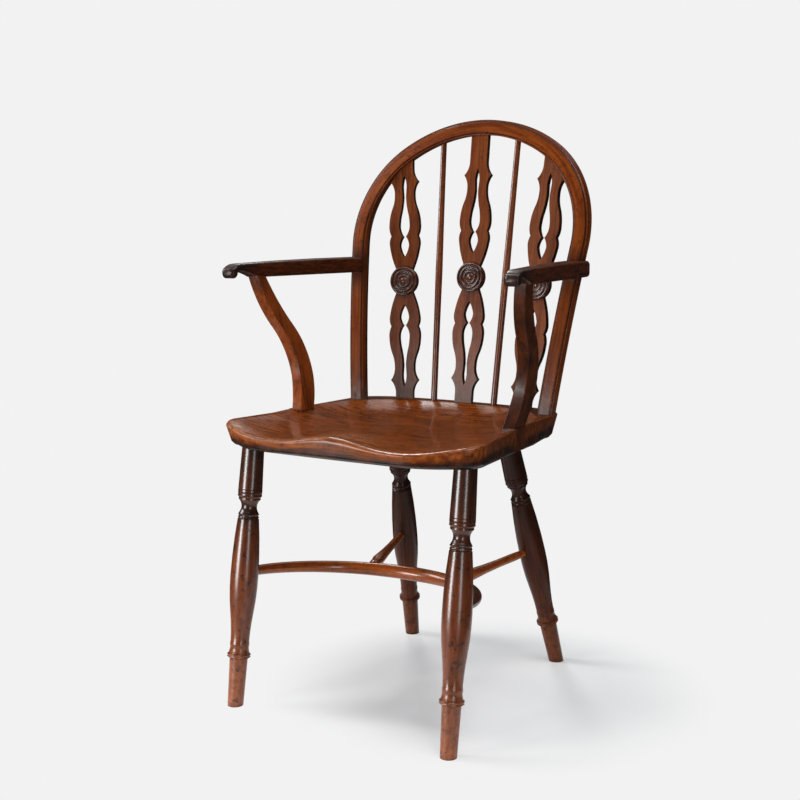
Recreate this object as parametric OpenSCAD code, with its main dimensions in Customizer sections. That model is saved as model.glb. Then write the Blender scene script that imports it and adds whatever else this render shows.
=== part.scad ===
// Windsor armchair: bent bow back, three pierced splats with turned roundels,
// two spindles, scrolled arms, turned legs and a hooped (crinoline) stretcher.
// Millimetres. Floor at z = 0, the sitter faces -Y, +X is the viewer's right.
// Right-hand pieces are drawn at +X and mirrored for the left-hand ones.

/* [Seat] */
// height of the seat's upper rim above the floor
seat_height = 444; // [420:1:470]
// thickness of the seat plank
seat_thick = 37; // [30:1:45]
// greatest half width, just behind the front corners
seat_half_w = 223.5; // [200:0.5:240]
// half width where the bow stands on the seat
seat_half_w_bow = 192.5; // [190.5:0.5:200]
// front edge, measured from the middle of the chair
seat_front = 242.5; // [225:0.5:250]
// rear edge, measured from the middle of the chair
seat_rear = 169.5; // [165:0.5:185]
// depth of the two round hollows that make the dish
dish_depth = 19.6; // [12:0.1:21]
// radius of the two round hollows
dish_radius = 656; // [500:1:800]
// half distance between the two round hollows
dish_spread = 42.7; // [30:0.1:60]
// deepest point of the round hollows, forward of the middle of the chair
dish_front = 12; // [0:0.5:40]
// depth of the ridge between the thighs, under its lowest point
ridge_depth = 16.4; // [8:0.1:18]
// radius of the ridge, front to back
ridge_radius = 1300; // [900:10:1800]
// lowest point of the ridge, forward of the middle of the chair
ridge_front = 56.4; // [30:0.1:90]
// depth of the thigh hollows at the front edge
thigh_depth = 19.8; // [10:0.1:21]
// radius of the thigh hollows
thigh_radius = 308; // [200:1:400]
// half distance between the thigh hollows at the front edge
thigh_spread = 106; // [90:1:120]
// upward slope of the thigh hollows toward the back
thigh_slope = 2.9; // [1:0.1:6]
// outward turn of the thigh hollows toward the back
thigh_turn = 3.4; // [0:0.1:6]

/* [Bow] */
// height of the top of the bow's inner edge above the seat
bow_rise = 442.4; // [415:0.1:475]
// radius of the inner edge over the crown
bow_crown_r = 227.9; // [215:0.1:240]
// half angle of the crown arc
bow_crown_angle = 33.6; // [28:0.1:38]
// radius of the inner edge at the shoulders
bow_shoulder_r = 150.3; // [135:0.1:165]
// outward lean of the bow's legs, seen from the front
bow_flare = 6.26; // [4:0.01:8]
// width of the bow seen from the front
bow_width = 25.5; // [20:0.5:30]
// depth of the bow, front to back
bow_depth = 20; // [16:0.5:26]
// front face of the bow where it meets the seat
bow_foot_y = 97; // [90:0.5:105]
// backward lean of the bow at the seat
bow_foot_lean = 7.43; // [5:0.01:9]
// radius of the backward bend of the bow
bow_bend_r = 2137; // [1800:1:2600]
// diameter of the tenons under the bow's feet
bow_tenon_d = 15; // [10:0.5:18]
// length of the tenons under the bow's feet
bow_tenon_len = 24; // [15:1:30]
// depth of the bead scratched along both front edges of the bow
bead_depth = 0.9; // [0.4:0.1:1.5]
// distance of the scratched bead from the bow's edge
bead_inset = 3.2; // [2:0.1:6]
// width of the scratched bead
bead_width = 1.3; // [0.8:0.1:2]

/* [Splats] */
// thickness of the splats
splat_thick = 7; // [5:0.5:10]
// front face of the middle splat at its roundel
splat_mid_y = 178.2; // [170:0.1:190]
// height of the middle roundel's centre above the seat
splat_mid_rise = 208; // [196:0.5:221]
// backward lean of the splats and spindles
splat_lean = 7; // [5:0.1:9]
// distance of the outer roundels from the middle
splat_side_x = 125.6; // [118:0.1:132]
// front face of an outer splat at its roundel
splat_side_y = 170.6; // [160:0.1:185]
// height of an outer roundel's centre above the seat
splat_side_rise = 199; // [186:0.5:216]
// outward fan of the outer splats
splat_fan = 3.1; // [1:0.1:5]
// turn of the outer splats toward the middle
splat_turn = 8; // [0:0.5:12]
// half width of the splat where it enters seat and bow
splat_end_w = 15.8; // [12:0.1:20]
// half width over the pointed ears
splat_ear_w = 25.2; // [20:0.1:30]
// half width at the narrow neck
splat_neck_w = 17.8; // [14:0.1:20]
// half width at the broad swelling
splat_swell_w = 28; // [24:0.1:32]
// half width at the nicks beside the pinch
splat_nick_w = 24.3; // [20:0.1:27]
// half width of the swelling next to the roundel
splat_lobe_w = 27; // [23:0.1:30]
// half width of the largest part of a piercing
pierce_swell_w = 8.4; // [5:0.1:10]
// half width of the piercing's round lobe
pierce_lobe_w = 7.4; // [4:0.1:9]
// half width of the piercing at its pinch
pierce_pinch_w = 2.6; // [1.5:0.1:4]
// tenon half width at both ends of a splat
splat_tenon_w = 11; // [8:0.5:14]
// tenon thickness, in the middle of the splat's thickness
splat_tenon_t = 5; // [3:0.5:6]
// tenon length at the seat end of a splat
splat_tenon_len = 14; // [8:1:20]
// tenon length at the bow end of a splat
splat_top_len = 11; // [6:1:14]

/* [Roundels] */
// diameter of the turned roundels
roundel_d = 50; // [44:0.5:56]
// thickness of the roundel's plate
roundel_plate = 3.4; // [2.5:0.1:5]
// diameter of the spigot behind the roundel
spigot_d = 10; // [6:0.5:14]
// length of the spigot
spigot_len = 4.5; // [3:0.1:6]

/* [Spindles] */
// distance of a spindle from the middle at the seat
spindle_seat_x = 57.1; // [50:0.1:64]
// distance of a spindle from the middle at the bow
spindle_bow_x = 70.1; // [64:0.1:76]
// spindle axis at the seat, from the middle of the chair
spindle_seat_y = 156; // [150:0.5:162]
// spindle diameter at the seat
spindle_foot_d = 10.6; // [8:0.1:13]
// spindle diameter at mid height
spindle_mid_d = 11.8; // [9:0.1:14]
// spindle diameter at the bow
spindle_top_d = 9.6; // [7:0.1:12]
// length of a spindle's ends in seat and bow
spindle_socket = 12; // [8:0.5:14]

/* [Arms] */
// height of the arm's underside above the seat
arm_rise = 212.5; // [201:0.5:218]
// thickness of the arm at the scroll
arm_thick = 22.5; // [18:0.5:26]
// thickness of the arm at the bow
arm_thick_rear = 27; // [20:0.5:32]
// front of the scroll, from the middle of the chair
arm_front = 158; // [150:0.5:170]
// width of the arm at the scroll
arm_w = 24; // [20:0.5:30]
// how far the middle of the scroll lies outside the support's tenon
arm_swing = 11.3; // [6:0.1:16]
// thickness of the arm's tongue outside the bow
arm_lap = 12; // [8:0.5:18]
// length of the down-turned scroll
scroll_len = 15; // [12:0.5:18]

/* [Arm supports] */
// thickness of an arm support
support_thick = 19.5; // [16:0.5:24]
// front edge of a support's foot, forward of the middle of the chair
support_front = 55; // [45:0.5:65]
// width of a support's foot, front to back
support_foot_w = 36.5; // [30:0.5:42]
// outward lean of the arm supports
support_lean = 11.6; // [8:0.1:14]
// outer face of a support where it leaves the seat
support_out_x = 201.5; // [198:0.5:203]
// middle of a support's upper end, forward of the middle of the chair
support_top_y = 98.5; // [93:0.1:104]
// diameter of the tenon into the arm
support_tenon_d = 12; // [8:0.5:14]
// length of the tenon into the arm
support_tenon_len = 11; // [8:0.5:14]

/* [Legs] */
// half distance between the front feet
front_foot_x = 190.5; // [180:0.5:205]
// front feet, forward of the middle of the chair
front_foot_y = 223.5; // [210:0.5:235]
// half distance between the front legs at the seat
front_top_x = 187; // [170:0.5:190]
// front legs at the seat, forward of the middle
front_top_y = 172.5; // [160:0.5:185]
// half distance between the rear feet
rear_foot_x = 144; // [130:0.5:160]
// rear feet, behind the middle of the chair
rear_foot_y = 229.5; // [215:0.5:232]
// half distance between the rear legs at the seat
rear_top_x = 103.6; // [95:0.5:115]
// rear legs at the seat, behind the middle
rear_top_y = 111; // [100:0.5:120]
// leg radius at the foot
foot_r = 12.2; // [10:0.1:14]
// leg radius at the seat
leg_top_r = 16.8; // [14:0.1:19]
// leg radius at the middle of its swelling
leg_swell_r = 21.6; // [18:0.1:24]
// height of the foot ring
foot_ring_h = 78.5; // [70:0.5:90]
// outer radius of the foot ring
foot_ring_r = 18.6; // [16:0.1:21]
// radius of the tenon in the seat
leg_tenon_r = 11; // [9:0.5:13]
// length of the tenon in the seat
leg_tenon_len = 25; // [18:1:28]

/* [Stretcher] */
// radius of the hoop, on its centre line
hoop_r = 184; // [175:0.5:192]
// centre of the hoop, forward of the middle of the chair
hoop_centre_y = 180.5; // [175:0.5:186]
// height of the hoop at its centre
hoop_z = 205; // [195:0.5:215]
// downward tilt of the hoop toward the back
hoop_tilt = 6.8; // [4:0.1:9]
// thickness of the hoop
hoop_d = 21; // [16:0.5:24]
// diameter of the hoop's tenons
hoop_tenon_d = 15; // [10:0.5:17]
// length of the hoop's tenons
hoop_tenon_len = 14; // [10:0.5:16]
// length over which the hoop's ends are tapered
hoop_taper = 15; // [8:0.5:20]
// spur end at the hoop, distance from the middle
spur_hoop_x = 76.5; // [65:0.5:90]
// spur end in the rear leg: height above the floor
spur_leg_z = 204; // [195:0.5:212]
// spur thickness near the hoop
spur_swell_d = 19.5; // [15:0.5:22]
// spur thickness at the rear leg
spur_thin_d = 11; // [9:0.5:14]

/* [Fit] */
// clearance between a tenon and its socket, and between resting faces
fit_gap = 0.15; // [0.1:0.05:0.3]

/* [Hidden] */
$fn = 96;
// widest angle between two points of a drawn arc
arc_step = 5;
// how far cutting bodies reach past the faces they cut
past = 1;
// how far the shapes inside one piece reach into each other
weld = 0.5;
// turn of every round stick about its own axis
seam_turn = 130;
// how much longer the leg is turned at both ends than it stands
leg_spare = 20;
seat_under = seat_height - seat_thick;
// how far the thigh hollows run out past the front edge, and in to the dish
thigh_out = thigh_radius * sin(thigh_slope) + seat_thick;
thigh_in = seat_front + seat_rear / 2;

// bow: centres of its arcs, centre of its backward bend, lowest drawn height
bow_top = seat_height + bow_rise;
bow_crown_z = bow_top - bow_crown_r;
bow_sh_x = (bow_crown_r - bow_shoulder_r) * sin(bow_crown_angle);
bow_sh_z = bow_crown_z + (bow_crown_r - bow_shoulder_r) * cos(bow_crown_angle);
bow_bend_y = bow_foot_y + bow_bend_r * cos(bow_foot_lean);
bow_bend_z = seat_height - bow_bend_r * sin(bow_foot_lean);
bow_low = seat_under - 2 * bow_tenon_len;

// splats: heights of the roundels, and how far the ends run from the roundel
splat_mid_z = seat_height + splat_mid_rise;
splat_side_z = seat_height + splat_side_rise;
splat_reach = (bow_rise + bow_width - min(splat_side_rise, splat_mid_rise))
    / cos(splat_lean);

// leg axes: foot point and the point at the seat's underside
front_foot = [front_foot_x, -front_foot_y, 0];
front_top = [front_top_x, -front_top_y, seat_under];
rear_foot = [rear_foot_x, rear_foot_y, 0];
rear_top = [rear_top_x, rear_top_y, seat_under];

// spur: one end on the hoop's centre line, the other on the rear leg's axis
hoop_spur_a = asin(spur_hoop_x / hoop_r);
spur_hoop = [spur_hoop_x,
    -hoop_centre_y + hoop_r * cos(hoop_spur_a) * cos(hoop_tilt),
    hoop_z - hoop_r * cos(hoop_spur_a) * sin(hoop_tilt)];
spur_leg = rear_foot + (rear_top - rear_foot) * spur_leg_z / seat_under;

// spindle: runs from the seat's top to the bow's inner edge
spindle_top_z = bow_crown_z + sqrt(pow(bow_crown_r, 2) - pow(spindle_bow_x, 2));
spindle_foot = [spindle_seat_x, spindle_seat_y, seat_height];
spindle_head = [spindle_bow_x,
    spindle_seat_y + (spindle_top_z - seat_height) * tan(splat_lean), spindle_top_z];

// arm: heights, and the bow's inner edge and front face at the height of the arms
arm_under = seat_height + arm_rise;
arm_top_front = arm_under + arm_thick;
arm_top_rear = arm_under + arm_thick_rear;
bow_front_at_arm = bow_bend_y - sqrt(pow(bow_bend_r, 2) - pow(arm_under - bow_bend_z, 2));
bow_in_at_arm = bow_sh_x + bow_shoulder_r * cos(bow_flare)
    - (bow_sh_z - bow_shoulder_r * sin(bow_flare) - arm_under) * tan(bow_flare);

// support: thickness seen from above, and its tenon's place under the arm
support_w = support_thick / cos(support_lean);
support_top_x = support_out_x - support_w / 2 + arm_rise * tan(support_lean);
arm_in_front = support_top_x + arm_swing - arm_w / 2;
arm_out_front = arm_in_front + arm_w;
arm_out_rear = bow_in_at_arm + bow_width / cos(bow_flare) + arm_lap;

// cutting bodies: half their width, and the front and rear of those round the back
half_view = arm_out_front + 2 * arm_w;
back_front = bow_foot_y - 2 * bow_depth;
back_rear = 2 * seat_rear;

// angle of the hoop's ends, measured from its rearmost point
hoop_end_angle = 84;

elm = [0.47, 0.25, 0.13];
yew = [0.55, 0.27, 0.12];
dark = [0.22, 0.11, 0.08];
leg_wood = [0.38, 0.17, 0.10];

// ---------- drawing helpers ----------

// Points from a toward b along an arc, b left out. A positive rise bulges to the
// left of the line a-b, a negative one to its right.
function arc(a, b, rise) =
    let (c = norm(b - a), h = abs(rise), r = (c * c / 4 + h * h) / (2 * h),
        s = rise > 0 ? 1 : -1, t = atan2(b[1] - a[1], b[0] - a[0]),
        q = asin(min(1, c / (2 * r))), n = max(3, ceil(2 * q / arc_step)),
        d = [cos(t), sin(t)], w = [-sin(t), cos(t)] * s,
        o = (a + b) / 2 + w * (h - r))
    [for (i = [0:n - 1]) let (k = -q + 2 * q * i / n) o + r * (w * cos(k) + d * sin(k))];

// Rows of [x, y, rise of the arc to the next row] turned into the points of an outline.
function outline(rows) = [for (i = [0:len(rows) - 1])
    let (a = rows[i], b = rows[(i + 1) % len(rows)])
    each (a[2] == 0 ? [[a[0], a[1]]] : arc([a[0], a[1]], [b[0], b[1]], a[2]))];

// Right half of an outline joined to its mirror image; points on the axis count once.
function both(p) = concat(p,
    [for (i = [len(p) - 1:-1:0]) if (p[i][0] > 0.001) [-p[i][0], p[i][1]]]);

// Points on a circle of radius r round c, from angle a to angle b.
function turn(c, r, a, b) = let (n = ceil(abs(b - a) / arc_step))
    [for (i = [0:n]) let (k = a + (b - a) * i / n) c + r * [cos(k), sin(k)]];

// Stands a shape drawn along +Z on the line from point f to point t.
module along(f, t) {
    d = t - f;
    translate(f) rotate([0, acos(d[2] / norm(d)), atan2(d[1], d[0])])
        rotate(seam_turn) children();
}

module left() {
    mirror([1, 0, 0]) children();
}

// A flat outline in the chair's front view, made into a slab from y = a to y = b.
module front_slab(a, b) {
    translate([0, b, 0]) rotate([90, 0, 0]) linear_extrude(b - a) children();
}

// ---------- seat ----------

// Right half of the seat, from the middle of its front edge to the rear.
seat_rows = [
    [0, -seat_front, -0.6],
    [126, 3 - seat_front, -4.5],
    [197, 27 - seat_front, -8],
    [seat_half_w, 64 - seat_front, 4.2],
    [seat_half_w_bow, 100, -6],
    [172, 143, -4],
    [120, seat_rear - 7.5, -1.9],
    [0, seat_rear, 0]];

module seat_outline() {
    polygon(both(outline(seat_rows)));
}

module seat() {
    color(elm) difference() {
        translate([0, 0, seat_under]) linear_extrude(seat_thick) seat_outline();
        // dished hollow for the sitter: two round hollows and the ridge between them
        for (s = [-1, 1])
            translate([s * dish_spread, -dish_front, seat_height - dish_depth + dish_radius])
                rotate([90, 0, 0]) sphere(dish_radius, $fn = 200);
        translate([0, -ridge_front, seat_height - ridge_depth + ridge_radius])
            rotate([90, 0, 0]) sphere(ridge_radius, $fn = 200);
        // one hollow for each thigh, leaving the pommel between them
        for (s = [-1, 1])
            translate([s * thigh_spread, -seat_front,
                    seat_height - thigh_depth + thigh_radius / cos(thigh_slope)])
                rotate([thigh_slope - 90, 0, -s * thigh_turn])
                    translate([0, 0, -thigh_out])
                        cylinder(r = thigh_radius, h = thigh_out + thigh_in);
        for (s = [0, 1]) mirror([s, 0, 0]) {
            leg_tenon(front_foot, front_top, fit_gap);
            leg_tenon(rear_foot, rear_top, fit_gap);
            bow_tenon(fit_gap);
            spindle_body(fit_gap);
            support_notch(fit_gap);
            splat_ends(fit_gap) splat_side_place() splat_tenon(fit_gap);
        }
        splat_ends(fit_gap) splat_mid_place() splat_tenon(fit_gap);
    }
}

// ---------- bow ----------

// Area inside a line drawn d outside the bow's inner edge.
module bow_fill(d) {
    ra = bow_crown_r + d;
    rb = bow_shoulder_r + d;
    hip = [bow_sh_x + rb * cos(bow_flare), bow_sh_z - rb * sin(bow_flare)];
    low = [hip[0] - (hip[1] - bow_low) * tan(bow_flare), bow_low];
    crown = turn([0, bow_crown_z], ra, 90 - bow_crown_angle, 90);
    polygon(both(concat([low],
        turn([bow_sh_x, bow_sh_z], rb, -bow_flare, 90 - bow_crown_angle),
        [for (i = [1:len(crown) - 1]) crown[i]])));
}

// Space between two bent sheets: d0 in front of and d1 behind the bow's front face.
module bow_sheet(d0, d1) {
    translate([-half_view, bow_bend_y, bow_bend_z]) rotate([0, 90, 0]) difference() {
        cylinder(r = bow_bend_r + d0, h = 2 * half_view, $fn = 400);
        translate([0, 0, -past])
            cylinder(r = bow_bend_r - d1, h = 2 * (half_view + past), $fn = 400);
    }
}

// The bow grown by g on all its faces: its front view cut out of the bent sheet.
module bow_bar(g) {
    intersection() {
        front_slab(back_front, back_rear) difference() {
            bow_fill(bow_width + g);
            bow_fill(-g);
        }
        bow_sheet(g, bow_depth + g);
    }
}

// Round tenon under the right foot of the bow.
module bow_tenon(g) {
    r = bow_shoulder_r + bow_width / 2;
    x = bow_sh_x + r * cos(bow_flare)
        - (bow_sh_z - r * sin(bow_flare) - seat_height) * tan(bow_flare);
    translate([x, bow_foot_y + bow_depth / 2, seat_height - bow_tenon_len - g])
        cylinder(r = bow_tenon_d / 2 + g, h = bow_tenon_len + 3 + g);
}

// Groove that sets off the bead, d outside the bow's inner edge.
module bead_line(d) {
    intersection() {
        front_slab(back_front, back_rear) difference() {
            bow_fill(d + bead_width / 2);
            bow_fill(d - bead_width / 2);
        }
        bow_sheet(past, bead_depth);
    }
}

module bow() {
    color(yew) difference() {
        union() {
            difference() {
                bow_bar(0);
                translate([-half_view, 0, bow_low - past]) cube([2 * half_view, back_rear,
                    seat_height + fit_gap - bow_low + past]);
            }
            bow_tenon(0);
            left() bow_tenon(0);
        }
        bead_line(bead_inset);
        bead_line(bow_width - bead_inset);
        spindle_body(fit_gap);
        left() spindle_body(fit_gap);
        splat_ends(fit_gap) splat_mid_place() splat_tenon(fit_gap);
        splat_ends(fit_gap) splat_side_place() splat_tenon(fit_gap);
        left() splat_ends(fit_gap) splat_side_place() splat_tenon(fit_gap);
    }
}

// ---------- splats ----------

module splat_mid_place() {
    translate([0, splat_mid_y, splat_mid_z]) rotate([-splat_lean, 0, 0]) children();
}

module splat_side_place() {
    translate([splat_side_x, splat_side_y, splat_side_z])
        rotate([-splat_lean, splat_fan, -splat_turn]) children();
}

// Right upper quarter of a splat: [half width, height above the roundel, rise].
splat_rows = [
    [splat_end_w, 24, -1.4],
    [splat_lobe_w, 60, -1.6],
    [splat_nick_w, 77.5, -1.6],
    [splat_swell_w, 98, -1.4],
    [21.5, 127, 1.0],
    [splat_neck_w, 148, 2.2],
    [splat_ear_w, 170, 2.6],
    [splat_end_w, 193, 0],
    [splat_end_w, splat_reach, 0]];

// Right half of the upper piercing: lobe, pinch with cusps, long drop and bud.
pierce_rows = [
    [0, 42, -1.2],
    [pierce_lobe_w, 61, -1.3],
    [pierce_pinch_w, 76, -1.6],
    [pierce_swell_w, 94, -0.4],
    [6.4, 112, 0.9],
    [1.9, 144, 0],
    [3.2, 162, -0.8],
    [0, 178, 0]];

// Right half of the outline, top and bottom alike.
splat_half = [for (i = [0, 1]) let (p = outline(splat_rows), n = len(p))
    each (i == 0 ? [for (k = [n - 1:-1:0]) [p[k][0], -p[k][1]]] : p)];

// The whole splat seen from the front, with the disc that carries its roundel.
module splat_face() {
    difference() {
        union() {
            polygon(both(splat_half));
            circle(roundel_d / 2 - 1.2);
        }
        for (s = [0, 1]) mirror([0, s]) polygon(both(outline(pierce_rows)));
    }
}

// Bar along the whole splat that carries its tenons; its front face is at y = 0.
module splat_tenon(g) {
    w = splat_tenon_w + g;
    n = splat_reach + splat_tenon_len;
    translate([-w, (splat_thick - splat_tenon_t) / 2 - g, -n])
        cube([2 * w, splat_tenon_t + 2 * g, 2 * n]);
}

// Space between the seat's top and the bow's inner edge, grown by d and by e.
module back_space(d, e) {
    intersection() {
        front_slab(back_front, back_rear) bow_fill(e);
        translate([-half_view, 0, seat_height - d])
            cube([2 * half_view, back_rear, bow_rise + bow_width + d]);
    }
}

// The ends of a tenon bar: as deep as the sockets, and clear of the open back.
module splat_ends(g) {
    difference() {
        intersection() {
            children();
            back_space(splat_tenon_len + g, splat_top_len + g);
        }
        back_space(-2 * past, -2 * past);
    }
}

module splat_body() {
    difference() {
        translate([0, splat_thick, 0]) rotate([90, 0, 0])
            linear_extrude(splat_thick) splat_face();
        // socket for the roundel's spigot
        translate([0, -past, 0]) rotate([-90, 0, 0])
            cylinder(r = spigot_d / 2 + fit_gap, h = spigot_len + past + fit_gap);
    }
}

module splat_centre() {
    color(yew) union() {
        intersection() {
            splat_mid_place() splat_body();
            back_space(-fit_gap, -fit_gap);
        }
        splat_ends(0) splat_mid_place() splat_tenon(0);
    }
}

module splat_side() {
    color(yew) union() {
        intersection() {
            splat_side_place() splat_body();
            back_space(-fit_gap, -fit_gap);
        }
        splat_ends(0) splat_side_place() splat_tenon(0);
    }
}

// ---------- roundels ----------

// [distance inward from the rim, height on the plate, radius] of beads and grooves
roundel_beads = [[2.2, 0, 1.9], [8, -0.2, 2.3], [15.2, -0.3, 2.0]];
roundel_grooves = [[11.8, 0.7, 1.1], [4.9, 0.5, 0.9]];
// radius of the ball whose cap makes the boss, and how far it stands proud
boss_r = 9.6;
boss_proud = 2.2;

module roundel() {
    r = roundel_d / 2;
    p = roundel_plate;
    color(dark) rotate([90, 0, 0]) rotate_extrude() difference() {
        union() {
            translate([0, fit_gap]) square([r - 0.8, p]);
            translate([0, fit_gap + 0.8]) square([r, p - 1.2]);
            for (b = roundel_beads) translate([r - b[0], p + b[1]]) circle(b[2]);
            intersection() {
                translate([0, p + boss_proud - boss_r]) circle(boss_r);
                translate([0, p - 1]) square([6, 4]);
            }
            translate([0, -spigot_len]) square([spigot_d / 2, spigot_len + 1]);
        }
        translate([-20, -20]) square([20, 40]);
        // cuts the beads off behind the plate
        translate([spigot_d / 2, fit_gap - 20]) square([60, 20]);
        for (b = roundel_grooves) translate([r - b[0], p + b[1]]) circle(b[2]);
    }
}

// ---------- spindles ----------

// The right spindle grown by g, with its slight swelling at mid height.
module spindle_body(g) {
    d = spindle_head - spindle_foot;
    u = d / norm(d);
    f = spindle_foot - u * (spindle_socket + g);
    n = norm(d) + 2 * (spindle_socket + g);
    along(f, spindle_head) rotate_extrude() polygon(outline([
        [0, 0, 0],
        [spindle_foot_d / 2 + g, 0, -0.3],
        [spindle_mid_d / 2 + g, n / 2, -0.3],
        [spindle_top_d / 2 + g, n, 0],
        [0, n, 0]]));
}

// ---------- arms ----------

module arm_plan() {
    f = -arm_front - 2;
    tongue = arm_out_rear - 11;
    b = bow_front_at_arm + bow_depth / 2;
    polygon([[arm_in_front, f], [arm_out_front, f], [arm_out_rear + 1, b + 4.5],
        [arm_out_rear - 3, b + 20], [tongue, b + 20], [tongue, b], [bow_in_at_arm + 1.5, b]]);
}

// Side view of the arm: [y, z, rise], with the down-turned scroll at the front.
module arm_side() {
    f = -arm_front;
    u = arm_under;
    h = arm_top_front;
    b = bow_front_at_arm + 2 * bow_depth;
    polygon(outline([
        [f + scroll_len / 2, u - 0.4, -2.1],
        [f + scroll_len - 0.2, u + 6.2, 0],
        [f + scroll_len + 3.4, u + 10.6, 2.4],
        [f + 43, u + 0.3, 0],
        [f + 58, u, 0],
        [b, u + 1.5, 0],
        [b, arm_top_rear, -1.2],
        [f + scroll_len - 2, h, -3.6],
        [f, h - 14, -2.2]]));
}

module arm() {
    color(dark) difference() {
        intersection() {
            translate([0, 0, arm_under - arm_thick])
                linear_extrude(3 * arm_thick_rear) arm_plan();
            rotate([90, 0, 90]) linear_extrude(half_view) arm_side();
        }
        bow_bar(fit_gap);
        support_tenon(fit_gap);
    }
}

// ---------- arm supports ----------

// Side view of a support: [y, height up its slope from the seat's top, rise].
module support_side() {
    f = -support_front;
    r = support_foot_w - support_front;
    t = -support_top_y;
    n = arm_rise / cos(support_lean) + support_tenon_len;
    polygon(outline([
        [f, -8, 0],
        [r, -8, 0],
        [r, 0, -2.8],
        [r + 13.5, 0.228 * n, -8],
        [r - 17.5, 0.606 * n, 4.1],
        [t + 9.5, n, 0],
        [t - 9.5, n, -6],
        [f - 17, 0.623 * n, 8.3],
        [f + 15, 0.246 * n, 2],
        [f, 0, 0]]));
}

// Foot of the right support: let into the seat's side and planed flush with it.
module support_foot() {
    intersection() {
        translate([support_out_x - support_w, -support_front, seat_under])
            cube([40, support_foot_w, seat_thick]);
        translate([0, 0, seat_under - past]) linear_extrude(seat_thick + 2 * past)
            seat_outline();
    }
}

module support_notch(g) {
    translate([support_out_x - support_w - g, -support_front - g, seat_under - past])
        cube([60, support_foot_w + 2 * g, seat_thick + 2 * past]);
}

module support_tenon(g) {
    translate([support_top_x, 3.5 - support_top_y, arm_under - 4])
        cylinder(r = support_tenon_d / 2 + g, h = support_tenon_len + 4 + g);
}

module support() {
    color(dark) union() {
        intersection() {
            translate([support_out_x - support_w, 0, seat_height])
                rotate([0, support_lean, 0]) rotate([90, 0, 90])
                    linear_extrude(support_thick) support_side();
            translate([0, -half_view, seat_height - weld])
                cube([half_view, 2 * half_view, arm_rise - fit_gap + weld]);
        }
        support_foot();
        support_tenon(0);
    }
}

// ---------- legs ----------

// Turned half profile of a leg of length n: [radius, distance from the foot, rise].
function leg_rows(n) =
    let (b = foot_ring_h, k = (n - b - 3) / 328.5)
    [[0, -leg_spare, 0],
    [foot_r, -leg_spare, 0],
    [foot_r, 0, 0],
    [foot_r + 1.8, b - 4.6, 0],
    [foot_r + 2, b, 0],
    // flared collar above the ring
    [foot_r + 3.6, b + 4.4, 0.6],
    [foot_r + 2.3, b + 21.5, 0.5],
    // long swelling
    [17.9, b + 65.5 * k, -1.1],
    [leg_swell_r, b + 124.5 * k, -1.1],
    // small ring and cove
    [16.5, b + 212.5 * k, 0],
    [15.2, b + 214 * k, 0],
    [15.2, b + 221 * k, 3.7],
    [16.1, b + 243 * k, 0],
    // plain top with a rounded lower edge
    [17.4, b + 244.2 * k, -0.5],
    [18.8, b + 248.5 * k, 0],
    [leg_top_r, n, 0],
    [leg_top_r - 0.4, n + leg_spare, 0],
    [0, n + leg_spare, 0]];

module leg_profile(n) {
    b = foot_ring_h;
    k = (n - b - 3) / 328.5;
    difference() {
        union() {
            polygon(outline(leg_rows(n)));
            translate([foot_ring_r - 4, b]) circle(4);
            translate([13.3, b + 217.5 * k]) circle(3.6);
        }
        // two scored lines
        for (h = [254.5, 258.5]) translate([18.7, b + h * k]) circle(0.7);
    }
}

module leg_tenon(f, t, g) {
    u = (t - f) / norm(t - f);
    along(t - u * 12, t + u * 10)
        cylinder(r = leg_tenon_r + g, h = 12 + leg_tenon_len + g);
}

module leg(f, t) {
    difference() {
        along(f, t) rotate_extrude() leg_profile(norm(t - f));
        // the foot is cut level with the floor, the top under the seat
        for (z = [-2 * leg_spare, seat_under - fit_gap])
            translate([-half_view, -half_view, z])
                cube([2 * half_view, 2 * half_view, 2 * leg_spare]);
    }
    leg_tenon(f, t, 0);
}

module leg_front() {
    color(leg_wood) difference() {
        leg(front_foot, front_top);
        hoop_end(fit_gap);
    }
}

module leg_rear() {
    color(leg_wood) difference() {
        leg(rear_foot, rear_top);
        spur_socket(fit_gap);
    }
}

// ---------- stretcher ----------

module hoop_place() {
    translate([0, -hoop_centre_y, hoop_z]) rotate([-hoop_tilt, 0, 0]) children();
}

// Tapered end and tenon of the hoop, in the right front leg.
module hoop_end(g) {
    e = [hoop_r * sin(hoop_end_angle), hoop_r * cos(hoop_end_angle), 0];
    hoop_place() translate(e) rotate([90, 0, 90 - hoop_end_angle]) {
        translate([0, 0, -weld]) cylinder(r1 = hoop_d / 2 - 0.2 + g,
            r2 = hoop_tenon_d / 2 + g, h = hoop_taper + weld);
        translate([0, 0, hoop_taper - weld])
            cylinder(r = hoop_tenon_d / 2 - 0.1 + g, h = hoop_tenon_len + weld + g);
    }
}

module hoop() {
    color(yew) difference() {
        union() {
            hoop_place() rotate([0, 0, 90 - hoop_end_angle])
                rotate_extrude(angle = 2 * hoop_end_angle) translate([hoop_r, 0])
                    circle(hoop_d / 2);
            hoop_end(0);
            left() hoop_end(0);
        }
        spur_body(fit_gap);
        left() spur_body(fit_gap);
    }
}

// The right spur grown by g: thin at the rear leg, thickest near the hoop.
module spur_body(g) {
    d = spur_leg - spur_hoop;
    u = d / norm(d);
    a = spur_thin_d / 2 + g;
    b = spur_swell_d / 2 + g;
    n = norm(d) + 12 + 2 * g;
    along(spur_hoop - u * (2 + g), spur_leg) rotate_extrude() polygon(outline([
        [0, 0, 0],
        [a, 0, 0],
        [a, 11.5, 0],
        [b - 1.5, 23, -0.5],
        [b, 40, -1.2],
        [a + 1.2, n - 60, 0.2],
        [a, n - 38, 0],
        [a, n, 0],
        [0, n, 0]]));
}

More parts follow.
